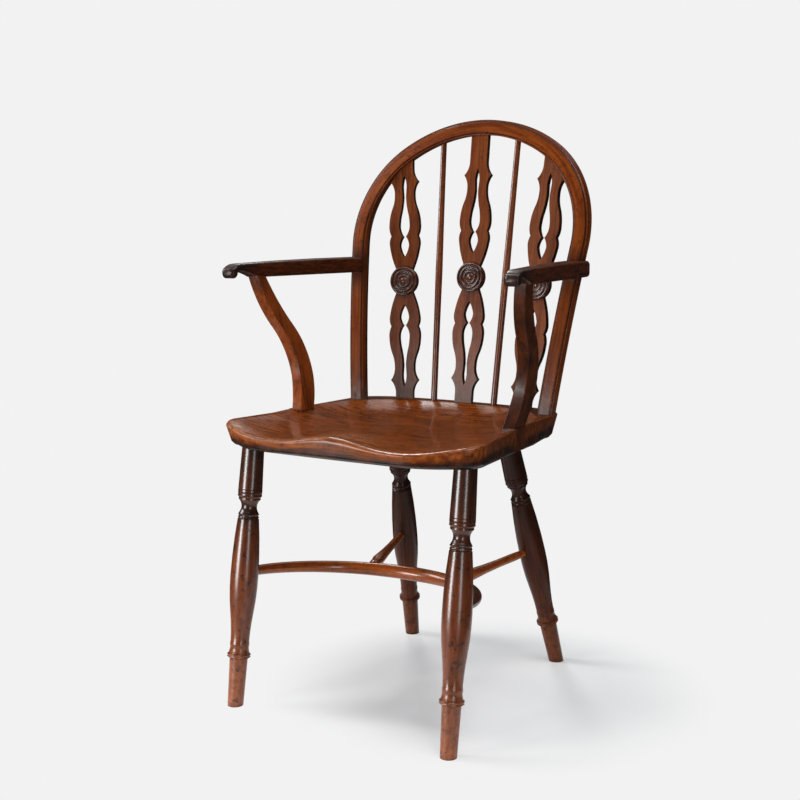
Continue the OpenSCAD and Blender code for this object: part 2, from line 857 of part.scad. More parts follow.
// Socket for the right spur's plain end in the rear leg.
module spur_socket(g) {
    u = (spur_leg - spur_hoop) / norm(spur_leg - spur_hoop);
    along(spur_leg - u * 37, spur_leg + u * 10)
        cylinder(r = spur_thin_d / 2 + g, h = 47 + g);
}

module spur() {
    color(yew) spur_body(0);
}

// ---------- one line per piece ----------
seat();
bow();
left() splat_side();  // splat_left
splat_centre();
splat_side();  // splat_right
left() splat_side_place() roundel();  // roundel_left
splat_mid_place() roundel();  // roundel_centre
splat_side_place() roundel();  // roundel_right
left() spindle_body(0);  // spindle_left
spindle_body(0);  // spindle_right
left() arm();  // arm_left
arm();  // arm_right
left() support();  // support_left
support();  // support_right
left() leg_front();  // leg_front_left
leg_front();  // leg_front_right
left() leg_rear();  // leg_rear_left
leg_rear();  // leg_rear_right
hoop();
left() spur();  // spur_left
spur();  // spur_right
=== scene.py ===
# %% [markdown]
# # A Windsor armchair, dressed over its imported parts
#
# The imported model holds every stick of this chair at its true size. This lesson
# makes the same sticks again with softened edges, beads, scored lines and the
# colour and gloss of old polished wood, and each new piece takes its node's place.

# %% Open the imported parts
import cmath
import math

import bpy
import numpy as np
from mathutils import Euler, Matrix, Vector


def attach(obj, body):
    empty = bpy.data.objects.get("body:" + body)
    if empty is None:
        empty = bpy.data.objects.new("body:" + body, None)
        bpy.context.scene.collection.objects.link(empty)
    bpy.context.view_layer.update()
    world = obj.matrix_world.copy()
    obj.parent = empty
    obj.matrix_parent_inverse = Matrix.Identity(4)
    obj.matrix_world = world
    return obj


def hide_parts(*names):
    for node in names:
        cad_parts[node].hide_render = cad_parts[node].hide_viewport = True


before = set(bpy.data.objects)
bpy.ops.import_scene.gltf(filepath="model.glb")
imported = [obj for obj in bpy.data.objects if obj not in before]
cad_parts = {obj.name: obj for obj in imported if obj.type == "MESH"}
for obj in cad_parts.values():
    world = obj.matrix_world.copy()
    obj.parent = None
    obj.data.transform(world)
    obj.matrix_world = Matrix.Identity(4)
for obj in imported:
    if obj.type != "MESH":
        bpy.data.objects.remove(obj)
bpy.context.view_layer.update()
bpy.ops.object.select_all(action="DESELECT")

# %% [markdown]
# ## Camera
#
# The photograph looks a little down at the chair, from the sitter's front and
# about 32 degrees round to one side. The camera's place was worked out from
# pieces that come in mirrored pairs, so it only has to be written down here.

# %% Stand the camera
bpy.ops.object.camera_add(location=(1.053, -1.7405, 0.744))
camera = bpy.context.object
aim = Vector((0, -0.0455, 0.471)) - camera.location
camera.rotation_euler = aim.to_track_quat("-Z", "Y").to_euler()
camera.data.sensor_width = 36
camera.data.lens = 58.7
bpy.context.scene.camera = camera
bpy.context.scene.view_settings.view_transform = "Standard"
print("the camera stands", round(aim.length, 2), "m from the chair")

# %% [markdown]
# ## Finishes are networks of small nodes
#
# Every wood below is built from the same few kinds of node, so short helpers keep
# those cells readable: one adds a node and fills its sockets, one blends two
# colours, one turns a spread of values into weights, and three do sums.

# %% Helpers for shader nodes
def add(tree, kind, inputs=None, **settings):
    """Adds a node. An input is a value or another node's output socket."""
    made = tree.nodes.new("ShaderNode" + kind)
    for key, value in settings.items():
        setattr(made, key, value)
    for key, value in (inputs or {}).items():
        if isinstance(value, bpy.types.NodeSocket):
            tree.links.new(value, made.inputs[key])
        else:
            made.inputs[key].default_value = value
    return made


def blend(tree, weight, below, above):
    """Colour 'above' laid over colour 'below' by a weight."""
    return add(tree, "Mix", {0: weight, 6: below, 7: above}, data_type="RGBA").outputs[2]


def ramp(tree, value, stops):
    """Turns a value into a grey between 0 and 1, through (position, grey) stops."""
    made = add(tree, "ValToRGB", {0: value})
    points = made.color_ramp.elements
    while len(points) < len(stops):
        points.new(0.5)
    for point, (place, grey) in zip(points, stops):
        point.position = place
        point.color = (grey, grey, grey, 1)
    return made.outputs[0]


def plus(tree, a, b):
    """One value added to another."""
    return add(tree, "Math", {0: a, 1: b}, operation="ADD").outputs[0]


def times(tree, a, b):
    """One value times another."""
    return add(tree, "Math", {0: a, 1: b}, operation="MULTIPLY").outputs[0]


def most(tree, *values):
    """The largest of several values."""
    best = values[0]
    for value in values[1:]:
        best = add(tree, "Math", {0: best, 1: value}, operation="MAXIMUM").outputs[0]
    return best


# %% [markdown]
# ## Floor, background and lamps
#
# The chair stands on a pale paper sweep that runs on into a pale background. The
# background is a colour that the camera and the reflections see, so it needs no
# extra light. Near the chair the floor is plain paper that takes the shadow, and
# further off it fades into the background colour.

# %% The pale background
PALE = (0.888, 0.888, 0.888, 1)

world = bpy.data.worlds.new("pale_studio")
world.use_nodes = True
bpy.context.scene.world = world
sky = world.node_tree
sky.nodes.clear()
ray = add(sky, "LightPath").outputs
seen = most(sky, ray["Is Camera Ray"], ray["Is Glossy Ray"], ray["Is Transmission Ray"])
soft = add(sky, "Background", {"Color": (0.9, 0.95, 1.0, 1), "Strength": 0.28})
shown = add(sky, "Background", {"Color": PALE, "Strength": 1.0})
either = add(sky, "MixShader", {0: seen, 1: soft.outputs[0], 2: shown.outputs[0]})
add(sky, "OutputWorld", {"Surface": either.outputs[0]})
print("background", PALE[:3])

# %% The paper floor
bpy.ops.mesh.primitive_plane_add(size=40, location=(0, 0, 0))
floor = bpy.context.object
floor.name = "paper_floor"
paper = bpy.data.materials.new("paper")
paper.use_nodes = True
tree = paper.node_tree
tree.nodes.clear()
place = add(tree, "TexCoord")
under = add(tree, "VectorMath", {0: place.outputs["Object"], 1: (0.10, 0.06, 0)},
            operation="SUBTRACT")
far = add(tree, "VectorMath", {0: under.outputs["Vector"]}, operation="LENGTH")
fade = add(tree, "MapRange", {"Value": far.outputs["Value"], "From Min": 0.16,
                              "From Max": 0.38}, interpolation_type="SMOOTHSTEP")
fade = most(tree, fade.outputs[0], 0.08)
lit = add(tree, "BsdfDiffuse", {"Color": (0.76, 0.76, 0.765, 1)})
plain = add(tree, "Emission", {"Color": PALE, "Strength": 1.0})
mixed = add(tree, "MixShader", {0: fade, 1: lit.outputs[0], 2: plain.outputs[0]})
ray = add(tree, "LightPath").outputs
seen = most(tree, ray["Is Camera Ray"], ray["Is Glossy Ray"])
both_ways = add(tree, "MixShader", {0: seen, 1: lit.outputs[0], 2: mixed.outputs[0]})
add(tree, "OutputMaterial", {"Surface": both_ways.outputs[0]})
floor.data.materials.append(paper)


# %% The lamps
def softbox(name, place, aim, wide, high, power):
    """A rectangular lamp at a place, facing a point."""
    bpy.ops.object.light_add(type="AREA", location=place)
    lamp = bpy.context.object
    lamp.name = name
    lamp.rotation_euler = (Vector(aim) - Vector(place)).to_track_quat("-Z", "Y").to_euler()
    lamp.data.shape = "RECTANGLE"
    lamp.data.size = wide
    lamp.data.size_y = high
    lamp.data.energy = power
    lamp.visible_camera = False


softbox("strip_left", (-0.93, -1.80, 0.36), (0, 0, 0.36), 0.60, 0.60, 26)
softbox("window_left", (-1.9, -0.8, 1.6), (0, 0, 0.4), 0.8, 1.3, 40)
softbox("strip_right", (1.26, -1.22, 0.46), (0, 0, 0.45), 0.30, 0.84, 6)
softbox("overhead", (0.7, -0.4, 2.4), (0, 0, 0.4), 1.0, 1.0, 26)
softbox("back_left", (-1.1, 1.2, 2.0), (0, 0.1, 0.45), 0.40, 0.40, 12)

# %% [markdown]
# A polished stick mirrors the whole room. A photographer stands black cards round
# the set, tall ones in front and low ones behind, and lays more on the floor beyond
# the chair. Dark wood then stays dark, only the lamps draw bright lines on it, and
# the pale backdrop still shows over the low cards. The cards are seen by
# reflections alone and shade nothing.

# %% Black cards round the set
black = bpy.data.materials.new("black_card")
black.use_nodes = True
matt = black.node_tree.nodes["Principled BSDF"]
matt.inputs["Base Color"].default_value = (0.02, 0.02, 0.02, 1)
matt.inputs["Roughness"].default_value = 0.9


def stand_cards(name, radius, top_radius, tall, gap):
    """A ring of cards round the set, open toward the backdrop by a gap in degrees."""
    bpy.ops.mesh.primitive_cone_add(vertices=72, radius1=radius, radius2=top_radius, depth=tall,
                                    end_fill_type="NOTHING", location=(0, 0, tall / 2))
    cards = bpy.context.object
    cards.name = name
    backdrop = -Vector(camera.location[:2]).normalized()
    bpy.ops.object.mode_set(mode="EDIT")
    bpy.ops.mesh.select_all(action="DESELECT")
    bpy.ops.mesh.select_mode(type="FACE")
    bpy.ops.object.mode_set(mode="OBJECT")
    for face in cards.data.polygons:
        toward = Vector(face.center[:2]).normalized().dot(backdrop)
        face.select = toward > math.cos(math.radians(gap / 2))
    bpy.ops.object.mode_set(mode="EDIT")
    bpy.ops.mesh.delete(type="FACE")
    bpy.ops.mesh.select_mode(type="VERT")
    bpy.ops.object.mode_set(mode="OBJECT")
    cards.data.materials.append(black)
    for ray in ("camera", "diffuse", "transmission", "shadow", "volume_scatter"):
        setattr(cards, "visible_" + ray, False)
    print(name, "of", len(cards.data.polygons), "panels")


stand_cards("tall_black_cards", 3.3, 3.3, 5.0, 110)
stand_cards("low_black_cards", 3.2, 3.2, 2.3, 0)
stand_cards("flat_black_cards", 3.2, 0.62, 0.004, 0)

# %% [markdown]
# ## Drawing, turning and sawing
#
# A chair maker has three ways to shape a stick: turn it on a lathe, saw it out of
# a board, or bend it. The helpers follow them. An outline is written as rows of
# two coordinates and the rise of the arc to the next row, in millimetres, as a
# template would be. A lathe piece is a line of points, pulled out one by one and
# spun round Z. A sawn piece is one flat face, pulled up to the board's thickness.

# %% Outlines from rows of points and rises
MM = 0.001


def arc(a, b, rise, step=4):
    """Points from a toward b, b left out, on an arc that bulges left by rise."""
    a, b = complex(*a), complex(*b)
    if rise == 0:
        return [(a.real, a.imag)]
    turn = 4 * math.atan(2 * rise / abs(b - a))
    count = max(3, math.ceil(abs(math.degrees(turn)) / step))
    centre = (a + b) / 2 - 1j * (b - a) / 2 / math.tan(turn / 2)
    line = [centre + (a - centre) * cmath.exp(-1j * turn * n / count) for n in range(count)]
    return [(p.real, p.imag) for p in line]


def outline(rows, closed=False, step=4):
    """The points of a line given as rows of [x, y, rise of the arc to the next row]."""
    line = []
    for n, row in enumerate(rows[:None if closed else -1]):
        after = rows[(n + 1) % len(rows)]
        line += arc(row[:2], after[:2], row[2] if len(row) > 2 else 0, step)
    return line if closed else line + [tuple(rows[-1][:2])]


# %% Selecting and cleaning a piece
def only(piece):
    """Leaves edit mode and selects this one piece."""
    if bpy.context.object and bpy.context.object.mode != "OBJECT":
        bpy.ops.object.mode_set(mode="OBJECT")
    bpy.ops.object.select_all(action="DESELECT")
    piece.select_set(True)
    bpy.context.view_layer.objects.active = piece


def edit(piece):
    """Opens a piece in edit mode with everything selected."""
    only(piece)
    bpy.ops.object.mode_set(mode="EDIT")
    bpy.ops.mesh.select_all(action="SELECT")


def pull(x, y, z):
    """Pulls what is selected out by one step, in millimetres."""
    bpy.ops.mesh.extrude_region_move(
        TRANSFORM_OT_translate={"value": (x * MM, y * MM, z * MM)})


def face_outward(piece):
    """Merges doubled points and turns every face outward."""
    edit(piece)
    bpy.ops.mesh.remove_doubles(threshold=1e-6)
    bpy.ops.mesh.normals_make_consistent(inside=False)
    bpy.ops.object.mode_set(mode="OBJECT")


def settle(piece, matrix):
    """Carries a piece to its place and writes that place into its mesh."""
    only(piece)
    piece.matrix_world = matrix
    bpy.ops.object.transform_apply(location=True, rotation=True, scale=True)


# %% Reading and moving points, and painting values on them
def stick_points(piece):
    """The piece's points as an array, in metres."""
    points = np.empty(len(piece.data.vertices) * 3)
    piece.data.vertices.foreach_get("co", points)
    return points.reshape(-1, 3)


def set_points(piece, points):
    """Writes moved points back into the piece."""
    piece.data.vertices.foreach_set("co", np.asarray(points).ravel())
    piece.data.update()


def facings(piece):
    """Which way each face of a piece looks, as an array."""
    return np.array([face.normal for face in piece.data.polygons])


def paint(piece, name, values, domain="POINT"):
    """Gives each point or face a value that the finish reads under this name."""
    layer = (piece.data.attributes.get(name)
             or piece.data.attributes.new(name, "FLOAT", domain))
    layer.data.foreach_set("value", np.ones(len(layer.data)) * values)


def table(place, rows):
    """A value looked up between (place, value) rows."""
    return np.interp(place, [row[0] for row in rows], [row[1] for row in rows])


# %% Remembering the grain
ALONG_Z = {"X": [1, 2, 0], "Y": [0, 2, 1], "Z": [0, 1, 2]}


def elsewhere(shift):
    """The way to another part of the plank, from one number or from all three."""
    return shift if isinstance(shift, tuple) else (shift, 0.37 * shift, 3.1 * shift)


def remember_grain(piece, along="Z", shift=0.0):
    """Keeps the place of each point in the straight blank, grain running along Z.

    The wood finish reads this place, so its streaks follow the piece when it is
    bent or leaned. The shift starts each piece on another part of the plank.
    """
    kept = piece.data.attributes.new("grain", "FLOAT_VECTOR", "POINT")
    places = stick_points(piece)[:, ALONG_Z[along]] + elsewhere(shift)
    kept.data.foreach_set("vector", places.ravel())


def shift_grain(piece, shift):
    """Moves a copy to another part of the plank."""
    kept = piece.data.attributes["grain"]
    places = np.empty(len(piece.data.vertices) * 3)
    kept.data.foreach_get("vector", places)
    kept.data.foreach_set("vector", (places.reshape(-1, 3) + elsewhere(shift)).ravel())


# %% The lathe
def turn_on_lathe(name, rows, steps=64):
    """Spins a line of (radius, height) points, in millimetres, round Z."""
    bpy.ops.mesh.primitive_plane_add(size=0.01)
    piece = bpy.context.object
    piece.name = piece.data.name = name
    bpy.ops.object.mode_set(mode="EDIT")
    bpy.ops.mesh.merge(type="CENTER")
    bpy.ops.transform.translate(value=(rows[0][0] * MM, 0, rows[0][1] * MM))
    for before, after in zip(rows, rows[1:]):
        pull(after[0] - before[0], 0, after[1] - before[1])
    bpy.ops.mesh.select_all(action="SELECT")
    bpy.ops.mesh.spin(steps=steps, angle=2 * math.pi, center=(0, 0, 0), axis=(0, 0, 1))
    face_outward(piece)
    return piece


# %% The saw
def flat_face(name, points):
    """One face in the XY plane with its corners at these points, in millimetres."""
    bpy.ops.mesh.primitive_circle_add(vertices=len(points), fill_type="NGON")
    piece = bpy.context.object
    piece.name = piece.data.name = name
    for vertex, (x, y) in zip(piece.data.vertices, points):
        vertex.co = (x * MM, y * MM, 0)
    return piece


def pull_up(piece, height, steps=1):
    """Pulls a flat face up along Z, in millimetres, to a closed body."""
    edit(piece)
    for _ in range(steps):
        pull(0, 0, height / steps)
    face_outward(piece)


def saw_out(piece, waste):
    """Cuts one body out of another and throws it away."""
    only(piece)
    cut = piece.modifiers.new("saw", "BOOLEAN")
    cut.operation = "DIFFERENCE"
    cut.solver = "EXACT"
    cut.object = waste
    bpy.ops.object.modifier_apply(modifier=cut.name)
    bpy.data.objects.remove(waste)


def saw_off(piece, place, facing, beyond=True, threshold=1e-4):
    """Saws off what lies beyond a plane, or short of it, and closes the cut."""
    edit(piece)
    bpy.ops.mesh.bisect(plane_co=place, plane_no=facing, use_fill=True,
                        clear_inner=not beyond, clear_outer=beyond, threshold=threshold)
    bpy.ops.object.mode_set(mode="OBJECT")


def soften(piece, width, rows=2):
    """Rounds the arrises of a piece by a width in millimetres."""
    only(piece)
    ease = piece.modifiers.new("ease", "BEVEL")
    ease.width = width * MM
    ease.segments = rows
    ease.limit_method = "ANGLE"
    ease.angle_limit = math.radians(50)
    ease.use_clamp_overlap = True
    bpy.ops.object.modifier_apply(modifier=ease.name)


def smooth(piece, sharp=35, planed=False):
    """Shades a piece smooth, except over edges sharper than this angle.

    On a planed piece the large faces set the shading, so they stay truly flat
    and only the narrow roundings beside them turn the light.
    """
    only(piece)
    bpy.ops.object.shade_smooth_by_angle(angle=math.radians(sharp))
    if planed:
        weigh = piece.modifiers.new("weigh", "WEIGHTED_NORMAL")
        weigh.keep_sharp = True
        weigh.weight = 100
        bpy.ops.object.modifier_apply(modifier=weigh.name)


# %% Copies and the hand-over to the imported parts
def copied(piece, name):
    """A copy of a piece with its own mesh."""
    only(piece)
    bpy.ops.object.duplicate()
    other = bpy.context.object
    other.name = other.data.name = name
    return other


def mirrored(piece):
    """The left-hand copy of a right-hand piece, with its own mesh and figure."""
    other = copied(piece, piece.name.replace("right", "left"))
    bpy.ops.transform.resize(value=(-1, 1, 1), center_override=(0, 0, 0))
    bpy.ops.object.transform_apply(location=True, rotation=True, scale=True)
    face_outward(other)
    shift_grain(other, 1.3)
    return other


def hand_over(piece, node, finish):
    """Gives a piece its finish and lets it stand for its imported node."""
    piece.data.materials.clear()
    piece.data.materials.append(finish)
    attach(piece, "root")
    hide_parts(node)
    print(piece.name, "stands for", node, "with", len(piece.data.polygons), "faces")


# %% [markdown]
# ## Old polished wood
#
# The chair has been waxed and handled for well over a century. Its colour is built
# in layers like the real one's: a brown ground, broad cloudy figure, streaks and fine
# pores along the grain, then darker wood, dirt, and painted shade in the corners and
# on faces turned from the light, and a paler, rubbed tone on proud edges. The gloss is
# uneven too, so roughness follows the figure.

# %% The wood's figure
def noise(tree, place, scale, detail=4.0, wobble=0.0, stretch=1.0):
    """Noise at a scale, drawn out along Z when the stretch is below one."""
    drawn = add(tree, "Mapping", {"Vector": place, "Scale": (1, 1, stretch)})
    return add(tree, "TexNoise", {"Vector": drawn.outputs[0], "Scale": scale, "Detail": detail,
                                  "Roughness": 0.6, "Distortion": wobble}).outputs["Fac"]


def figured(tree, grain, dark, middle, light, streak, pore):
    """Clouds, slanted rings, fine dark lines and pores, all along the grain."""
    colour, figures = (*dark, 1), []
    for scale, detail, wobble, stretch, stops, weight, tone in (
            (34.0, 4.0, 0.2, 0.2, ((0.34, 0.0), (0.66, 1.0)), 1.0, middle),
            (260.0, 5.0, 0.3, 0.05, ((0.40, 0.0), (0.62, 1.0)), streak, light),
            (640.0, 3.0, 0.3, 0.014, ((0.56, 0.0), (0.68, 1.0)), 0.4 * streak,
             [0.6 * c for c in dark]),
            (1300.0, 2.0, 0.0, 0.03, ((0.30, 1.0), (0.44, 0.0)), pore,
             [0.3 * c for c in dark])):
        figure = noise(tree, grain, scale, detail, wobble, stretch)
        colour = blend(tree, times(tree, ramp(tree, figure, stops), weight), colour, (*tone, 1))
        figures.append(figure)
    clouds, rings, _, pores = figures
    return colour, clouds, plus(tree, rings, pores)


# %% The wood finish
NOWHERE = ((0, 0), (1, 0))
# the colour of darkened wood and dirt, also laid on as painted shade
DARK_AND_SHADE_COLOUR = (0.010, 0.0055, 0.004, 1)
# the grey of dust, also standing in for a painted sheen of reflected light
DUST_AND_SHEEN = (0.13, 0.095, 0.075, 1)


def old_wood(name, dark, middle, light, gloss=0.3, streak=0.75, pore=0.35, corner_shade=0.8,
             dark_at=NOWHERE, pale_at=NOWHERE, dust_and_sheen_at=NOWHERE, coat=0.0,
             shine=0.35, mottle=0.5, worn=(0.26, 0.085, 0.032), wave=0.16):
    """A polished wood whose figure runs along the remembered grain.

    dark, middle and light are the colours of its ground and figure. dark_at,
    pale_at and the grey dust stops are heights over the floor, in metres, and how much
    darker, paler or greyer the wood is there; the grey stands for dust and a painted
    sheen of reflected light.
    """
    finish = bpy.data.materials.new(name)
    finish.use_nodes = True
    tree = finish.node_tree
    skin = tree.nodes["Principled BSDF"]
    grain = add(tree, "Attribute", attribute_name="grain").outputs["Vector"]
    spot = add(tree, "TexCoord").outputs["Object"]
    height = add(tree, "SeparateXYZ", {0: spot}).outputs["Z"]
    colour, clouds, relief = figured(tree, grain, dark, middle, light, streak, pore)

    # patches of wear and dirt, a finger and a pinhead wide
    patch = ramp(tree, noise(tree, spot, 48.0, wobble=0.5), [(0.36, 0.25), (0.60, 1.0)])
    speck = ramp(tree, noise(tree, grain, 170.0, detail=6.0, stretch=0.35),
                 [(0.40, 0.0), (0.60, 1.0)])
    both = plus(tree, times(tree, patch, 0.6), times(tree, speck, 0.4))

    # rubbed paler by hands, clothes and shoes
    rubbed = add(tree, "Attribute", attribute_name="rubbed").outputs["Fac"]
    rubbed = times(tree, most(tree, rubbed, ramp(tree, height, pale_at)), both)
    colour = blend(tree, rubbed, colour, (*worn, 1))

    # darkening by height and where painted, random dark spots, and painted shade in the
    # corners, found by ambient occlusion
    steady = plus(tree, times(tree, patch, 0.3), 0.7)
    corner = add(tree, "AmbientOcclusion", {"Distance": 0.010}, samples=8)
    corner = times(tree, ramp(tree, corner.outputs["AO"], [(0.35, corner_shade), (0.85, 0.0)]), steady)
    # the painted value read here is dirt on the arms, painted shade on most other pieces, and a
    # darker rear rim on the seat
    dirt_and_shade = add(tree, "Attribute", attribute_name="dirt_and_shade").outputs["Fac"]
    spots = ramp(tree, noise(tree, spot, 95.0, detail=7.0, wobble=0.8),
                 [(0.50, 0.0), (0.62, mottle)])
    darkening_and_shade = most(tree, corner, times(tree, dirt_and_shade, steady), times(tree, spots, patch),
                times(tree, ramp(tree, height, dark_at), steady))
    # dark spots, darker wood, dirt and painted shade all go toward this one dark colour
    colour = blend(tree, darkening_and_shade, colour, DARK_AND_SHADE_COLOUR)
    # grey at the feet of the bow and splats: dust, and a painted sheen of reflected light
    dust_and_sheen = times(tree, ramp(tree, height, dust_and_sheen_at), speck)
    colour = blend(tree, dust_and_sheen, colour, DUST_AND_SHEEN)
    tree.links.new(colour, skin.inputs["Base Color"])

    # a little duller over the brown clouds, and where it is worn, grey at the foot, dirty, or
    # painted with shade
    rough = add(tree, "MapRange", {"Value": clouds, "From Min": 0.3, "From Max": 0.7,
                                   "To Min": gloss, "To Max": gloss + 0.06})
    dull = most(tree, rubbed, dust_and_sheen, times(tree, dirt_and_shade, 0.4))
    rough = plus(tree, rough.outputs[0], times(tree, dull, 0.16))
    tree.links.new(rough, skin.inputs["Roughness"])
    skin.inputs["Specular IOR Level"].default_value = shine
    skin.inputs["Coat Weight"].default_value = coat
    skin.inputs["Coat Roughness"].default_value = 0.12

    # the figure is felt as fine dents, and the hand plane left the face uneven
    uneven = noise(tree, spot, 60.0, detail=2.0)
    waves = add(tree, "Bump", {"Strength": wave, "Distance": 0.0010, "Height": uneven})
    dents = add(tree, "Bump", {"Strength": 0.25 * wave, "Distance": 0.0006, "Height": relief,
                               "Normal": waves.outputs[0]})
    tree.links.new(dents.outputs[0], skin.inputs["Normal"])
    return finish


# %% One finish for each kind of stick
seat_finish = old_wood("waxed_elm", (0.066, 0.0130, 0.0026), (0.138, 0.0225, 0.0018),
                       (0.265, 0.064, 0.0075), gloss=0.17, streak=0.9, mottle=0.65,
                       shine=0.22, worn=(0.30, 0.110, 0.040))
bow_finish = old_wood("polished_yew", (0.070, 0.0130, 0.0022), (0.150, 0.0260, 0.0028),
                      (0.240, 0.057, 0.0070), gloss=0.20, streak=0.5, shine=0.2,
                      dark_at=((0.43, 0.9), (0.47, 0.3), (0.62, 0.2), (0.65, 0.7),
                               (0.685, 0.7), (0.71, 0.05), (0.86, 0.0), (0.91, 0.15)),
                      dust_and_sheen_at=((0.444, 0.6), (0.48, 0.0)))
splat_finish = old_wood("polished_fruitwood", (0.058, 0.0100, 0.0020),
                        (0.140, 0.0280, 0.0042), (0.250, 0.068, 0.0105), gloss=0.24,
                        streak=0.4, corner_shade=0.9, shine=0.2,
                        dark_at=((0.43, 0.6), (0.50, 0.2), (0.60, 0.2), (0.70, 0.3),
                                 (0.9, 0.1)),
                        dust_and_sheen_at=((0.446, 0.7), (0.475, 0.0)))
dark_finish = old_wood("dark_turned_wood", (0.016, 0.0045, 0.0026), (0.048, 0.0110, 0.0036),
                       (0.090, 0.024, 0.0070), gloss=0.25, mottle=0.0, pore=0.1,
                       wave=0.0, coat=0.3, corner_shade=0.0)
arm_finish = old_wood("dark_arm_wood", (0.016, 0.0045, 0.0022), (0.042, 0.0085, 0.0026),
                      (0.085, 0.018, 0.0040), gloss=0.24, shine=0.25, mottle=0.3,
                      wave=0.08)
support_finish = old_wood("brown_support_wood", (0.065, 0.0110, 0.0022),
                          (0.220, 0.0420, 0.0065), (0.360, 0.092, 0.0140), gloss=0.20,
                          streak=0.4, shine=0.18,
                          dark_at=((0.43, 0.2), (0.50, 0.1), (0.62, 0.25), (0.66, 0.7)))
leg_finish = old_wood("red_leg_wood", (0.060, 0.0110, 0.0026), (0.160, 0.0310, 0.0050),
                      (0.270, 0.068, 0.0120), gloss=0.22, streak=0.35, shine=0.6,
                      mottle=0.9, worn=(0.33, 0.085, 0.020),
                      pale_at=((0.0, 0.9), (0.07, 0.7), (0.10, 0.3), (0.2, 0.1), (0.24, 0.0)),
                      dark_at=((0.0, 0.0), (0.09, 0.1), (0.20, 0.2), (0.27, 0.5), (0.30, 0.95),
                               (0.32, 0.75), (0.41, 0.95)))
# the rear legs get a darker copy of the leg wood: painted shade, as they stand in the seat's
# shadow
shaded_rear_leg_finish = old_wood("shaded_rear_leg_wood", (0.020, 0.0050, 0.0020),
                           (0.065, 0.0110, 0.0026), (0.120, 0.026, 0.0060), gloss=0.22,
                           streak=0.4, shine=0.18,
                           pale_at=((0.0, 0.5), (0.07, 0.3), (0.10, 0.1), (0.2, 0.0)),
                           dark_at=((0.10, 0.0), (0.29, 0.8), (0.41, 0.9)))
hoop_finish = old_wood("orange_yew", (0.120, 0.0200, 0.0030), (0.290, 0.0580, 0.0085),
                       (0.420, 0.115, 0.0190), gloss=0.20, streak=0.5, coat=0.3)
spindle_finish = old_wood("polished_spindle_wood", (0.060, 0.0110, 0.0022),
                          (0.130, 0.0270, 0.0045), (0.200, 0.055, 0.0095), gloss=0.22,
                          streak=0.3, coat=0.3, shine=0.6, dark_at=((0.43, 0.5), (0.47, 0.0)))
print("finishes:", [m.name for m in bpy.data.materials if m.name.count("_")])

# %% [markdown]
# ## Legs
#
# The four legs are turned to one pattern: a plain round top with a rounded lip and
# two scored lines, a cove, a small ring, a long swelling, a flared collar over the
# foot ring, and a plain foot. One front and one rear leg are turned as straight
# sticks, leaned onto the line from floor to seat, and sawn off level with the floor.

# %% The leg's profile
FOOT_RING = 78.5     # height of the foot ring
# rows of [radius, height over the foot ring, rise]; the shaft stretches with the leg
FOOT_ROWS = [[14.0, -6.0], [14.1, -4.1, -0.3], [14.9, -3.3], [16.3, -3.4, 1.2],
             [18.2, -1.9, 0.75], [18.3, 1.7, 0.9], [16.6, 3.4, 0.15], [15.3, 3.7],
             [15.4, 4.6, 0.2], [15.8, 5.4, 0.5], [14.7, 14.0, -0.45], [14.4, 22.0, 0.6]]
SHAFT_ROWS = [[17.9, 65.5, -1.1], [21.6, 124.5, -1.1], [16.5, 212.2], [15.3, 213.2, -0.2],
              [15.2, 214.3, 0.2], [16.5, 215.0, 1.25], [16.5, 220.0, 0.2], [15.1, 221.2],
              [14.9, 222.4, 3.5], [16.0, 241.8, 0.2], [16.9, 242.6], [17.0, 243.8, 0.9],
              [18.8, 248.0, 0.4], [18.75, 253.4], [18.1, 254.0], [18.7, 254.6],
              [18.65, 257.9], [18.0, 258.5], [18.6, 259.1]]
SHAFT = 328.5        # drawn height from the foot ring to the seat


def leg_rows(length):
    """Half profile of a leg: rows of [radius, height, rise], in millimetres."""
    stretch = (length - FOOT_RING - 3) / SHAFT
    return ([[0, -20], [11.9, -20], [12.2, 0]]
            + [[r, FOOT_RING + z, *rise] for r, z, *rise in FOOT_ROWS]
            + [[r, FOOT_RING + z * stretch, *rise] for r, z, *rise in SHAFT_ROWS]
            + [[16.8, length], [16.5, length + 20], [0, length + 20]])


# %% Turn, lean and level the legs
def level(piece, low, high):
    """Saws a piece off level, below one height and above another, in millimetres."""
    for height, above in ((low, False), (high, True)):
        saw_off(piece, (0, 0, height * MM), (0, 0, 1), above, threshold=1e-6)


def lean(foot, top, twist=0.0):
    """The placement that stands a piece drawn along +Z on a line, in millimetres."""
    turned = (top - foot).to_track_quat("Z", "Y").to_matrix().to_4x4()
    return Matrix.Translation(foot * MM) @ turned @ Matrix.Rotation(twist, 4, "Z")


SEAT_UNDER = 407
FRONT_LEG = Vector((190.5, -223.5, 0)), Vector((187, -172.5, SEAT_UNDER))
REAR_LEG = Vector((144, 229.5, 0)), Vector((103.6, 111, SEAT_UNDER))

legs = {}
for name, (foot, top), shift in (("front", FRONT_LEG, 2.1), ("rear", REAR_LEG, 4.7)):
    length = (top - foot).length
    leg = turn_on_lathe(f"turned_leg_{name}_right", outline(leg_rows(length)))
    remember_grain(leg, shift=shift)
    settle(leg, lean(foot, top, twist=2.0))
    level(leg, 0, SEAT_UNDER + 6)
    smooth(leg)
    legs[f"leg_{name}_right"] = leg
    legs[f"leg_{name}_left"] = mirrored(leg)
for node, leg in legs.items():
    hand_over(leg, node, shaded_rear_leg_finish if "rear" in node else leg_finish)

# %% [markdown]
# ## Hooped stretcher
#
# One straight stick, thickest in the middle, was steamed and bent to a half circle
# whose ends go into the front legs. Blender's own bend needs a window, so the
# stick is drawn straight, with many rings of points, and each point is then
# carried to its place on the bent line, as the steam bender's former does it.

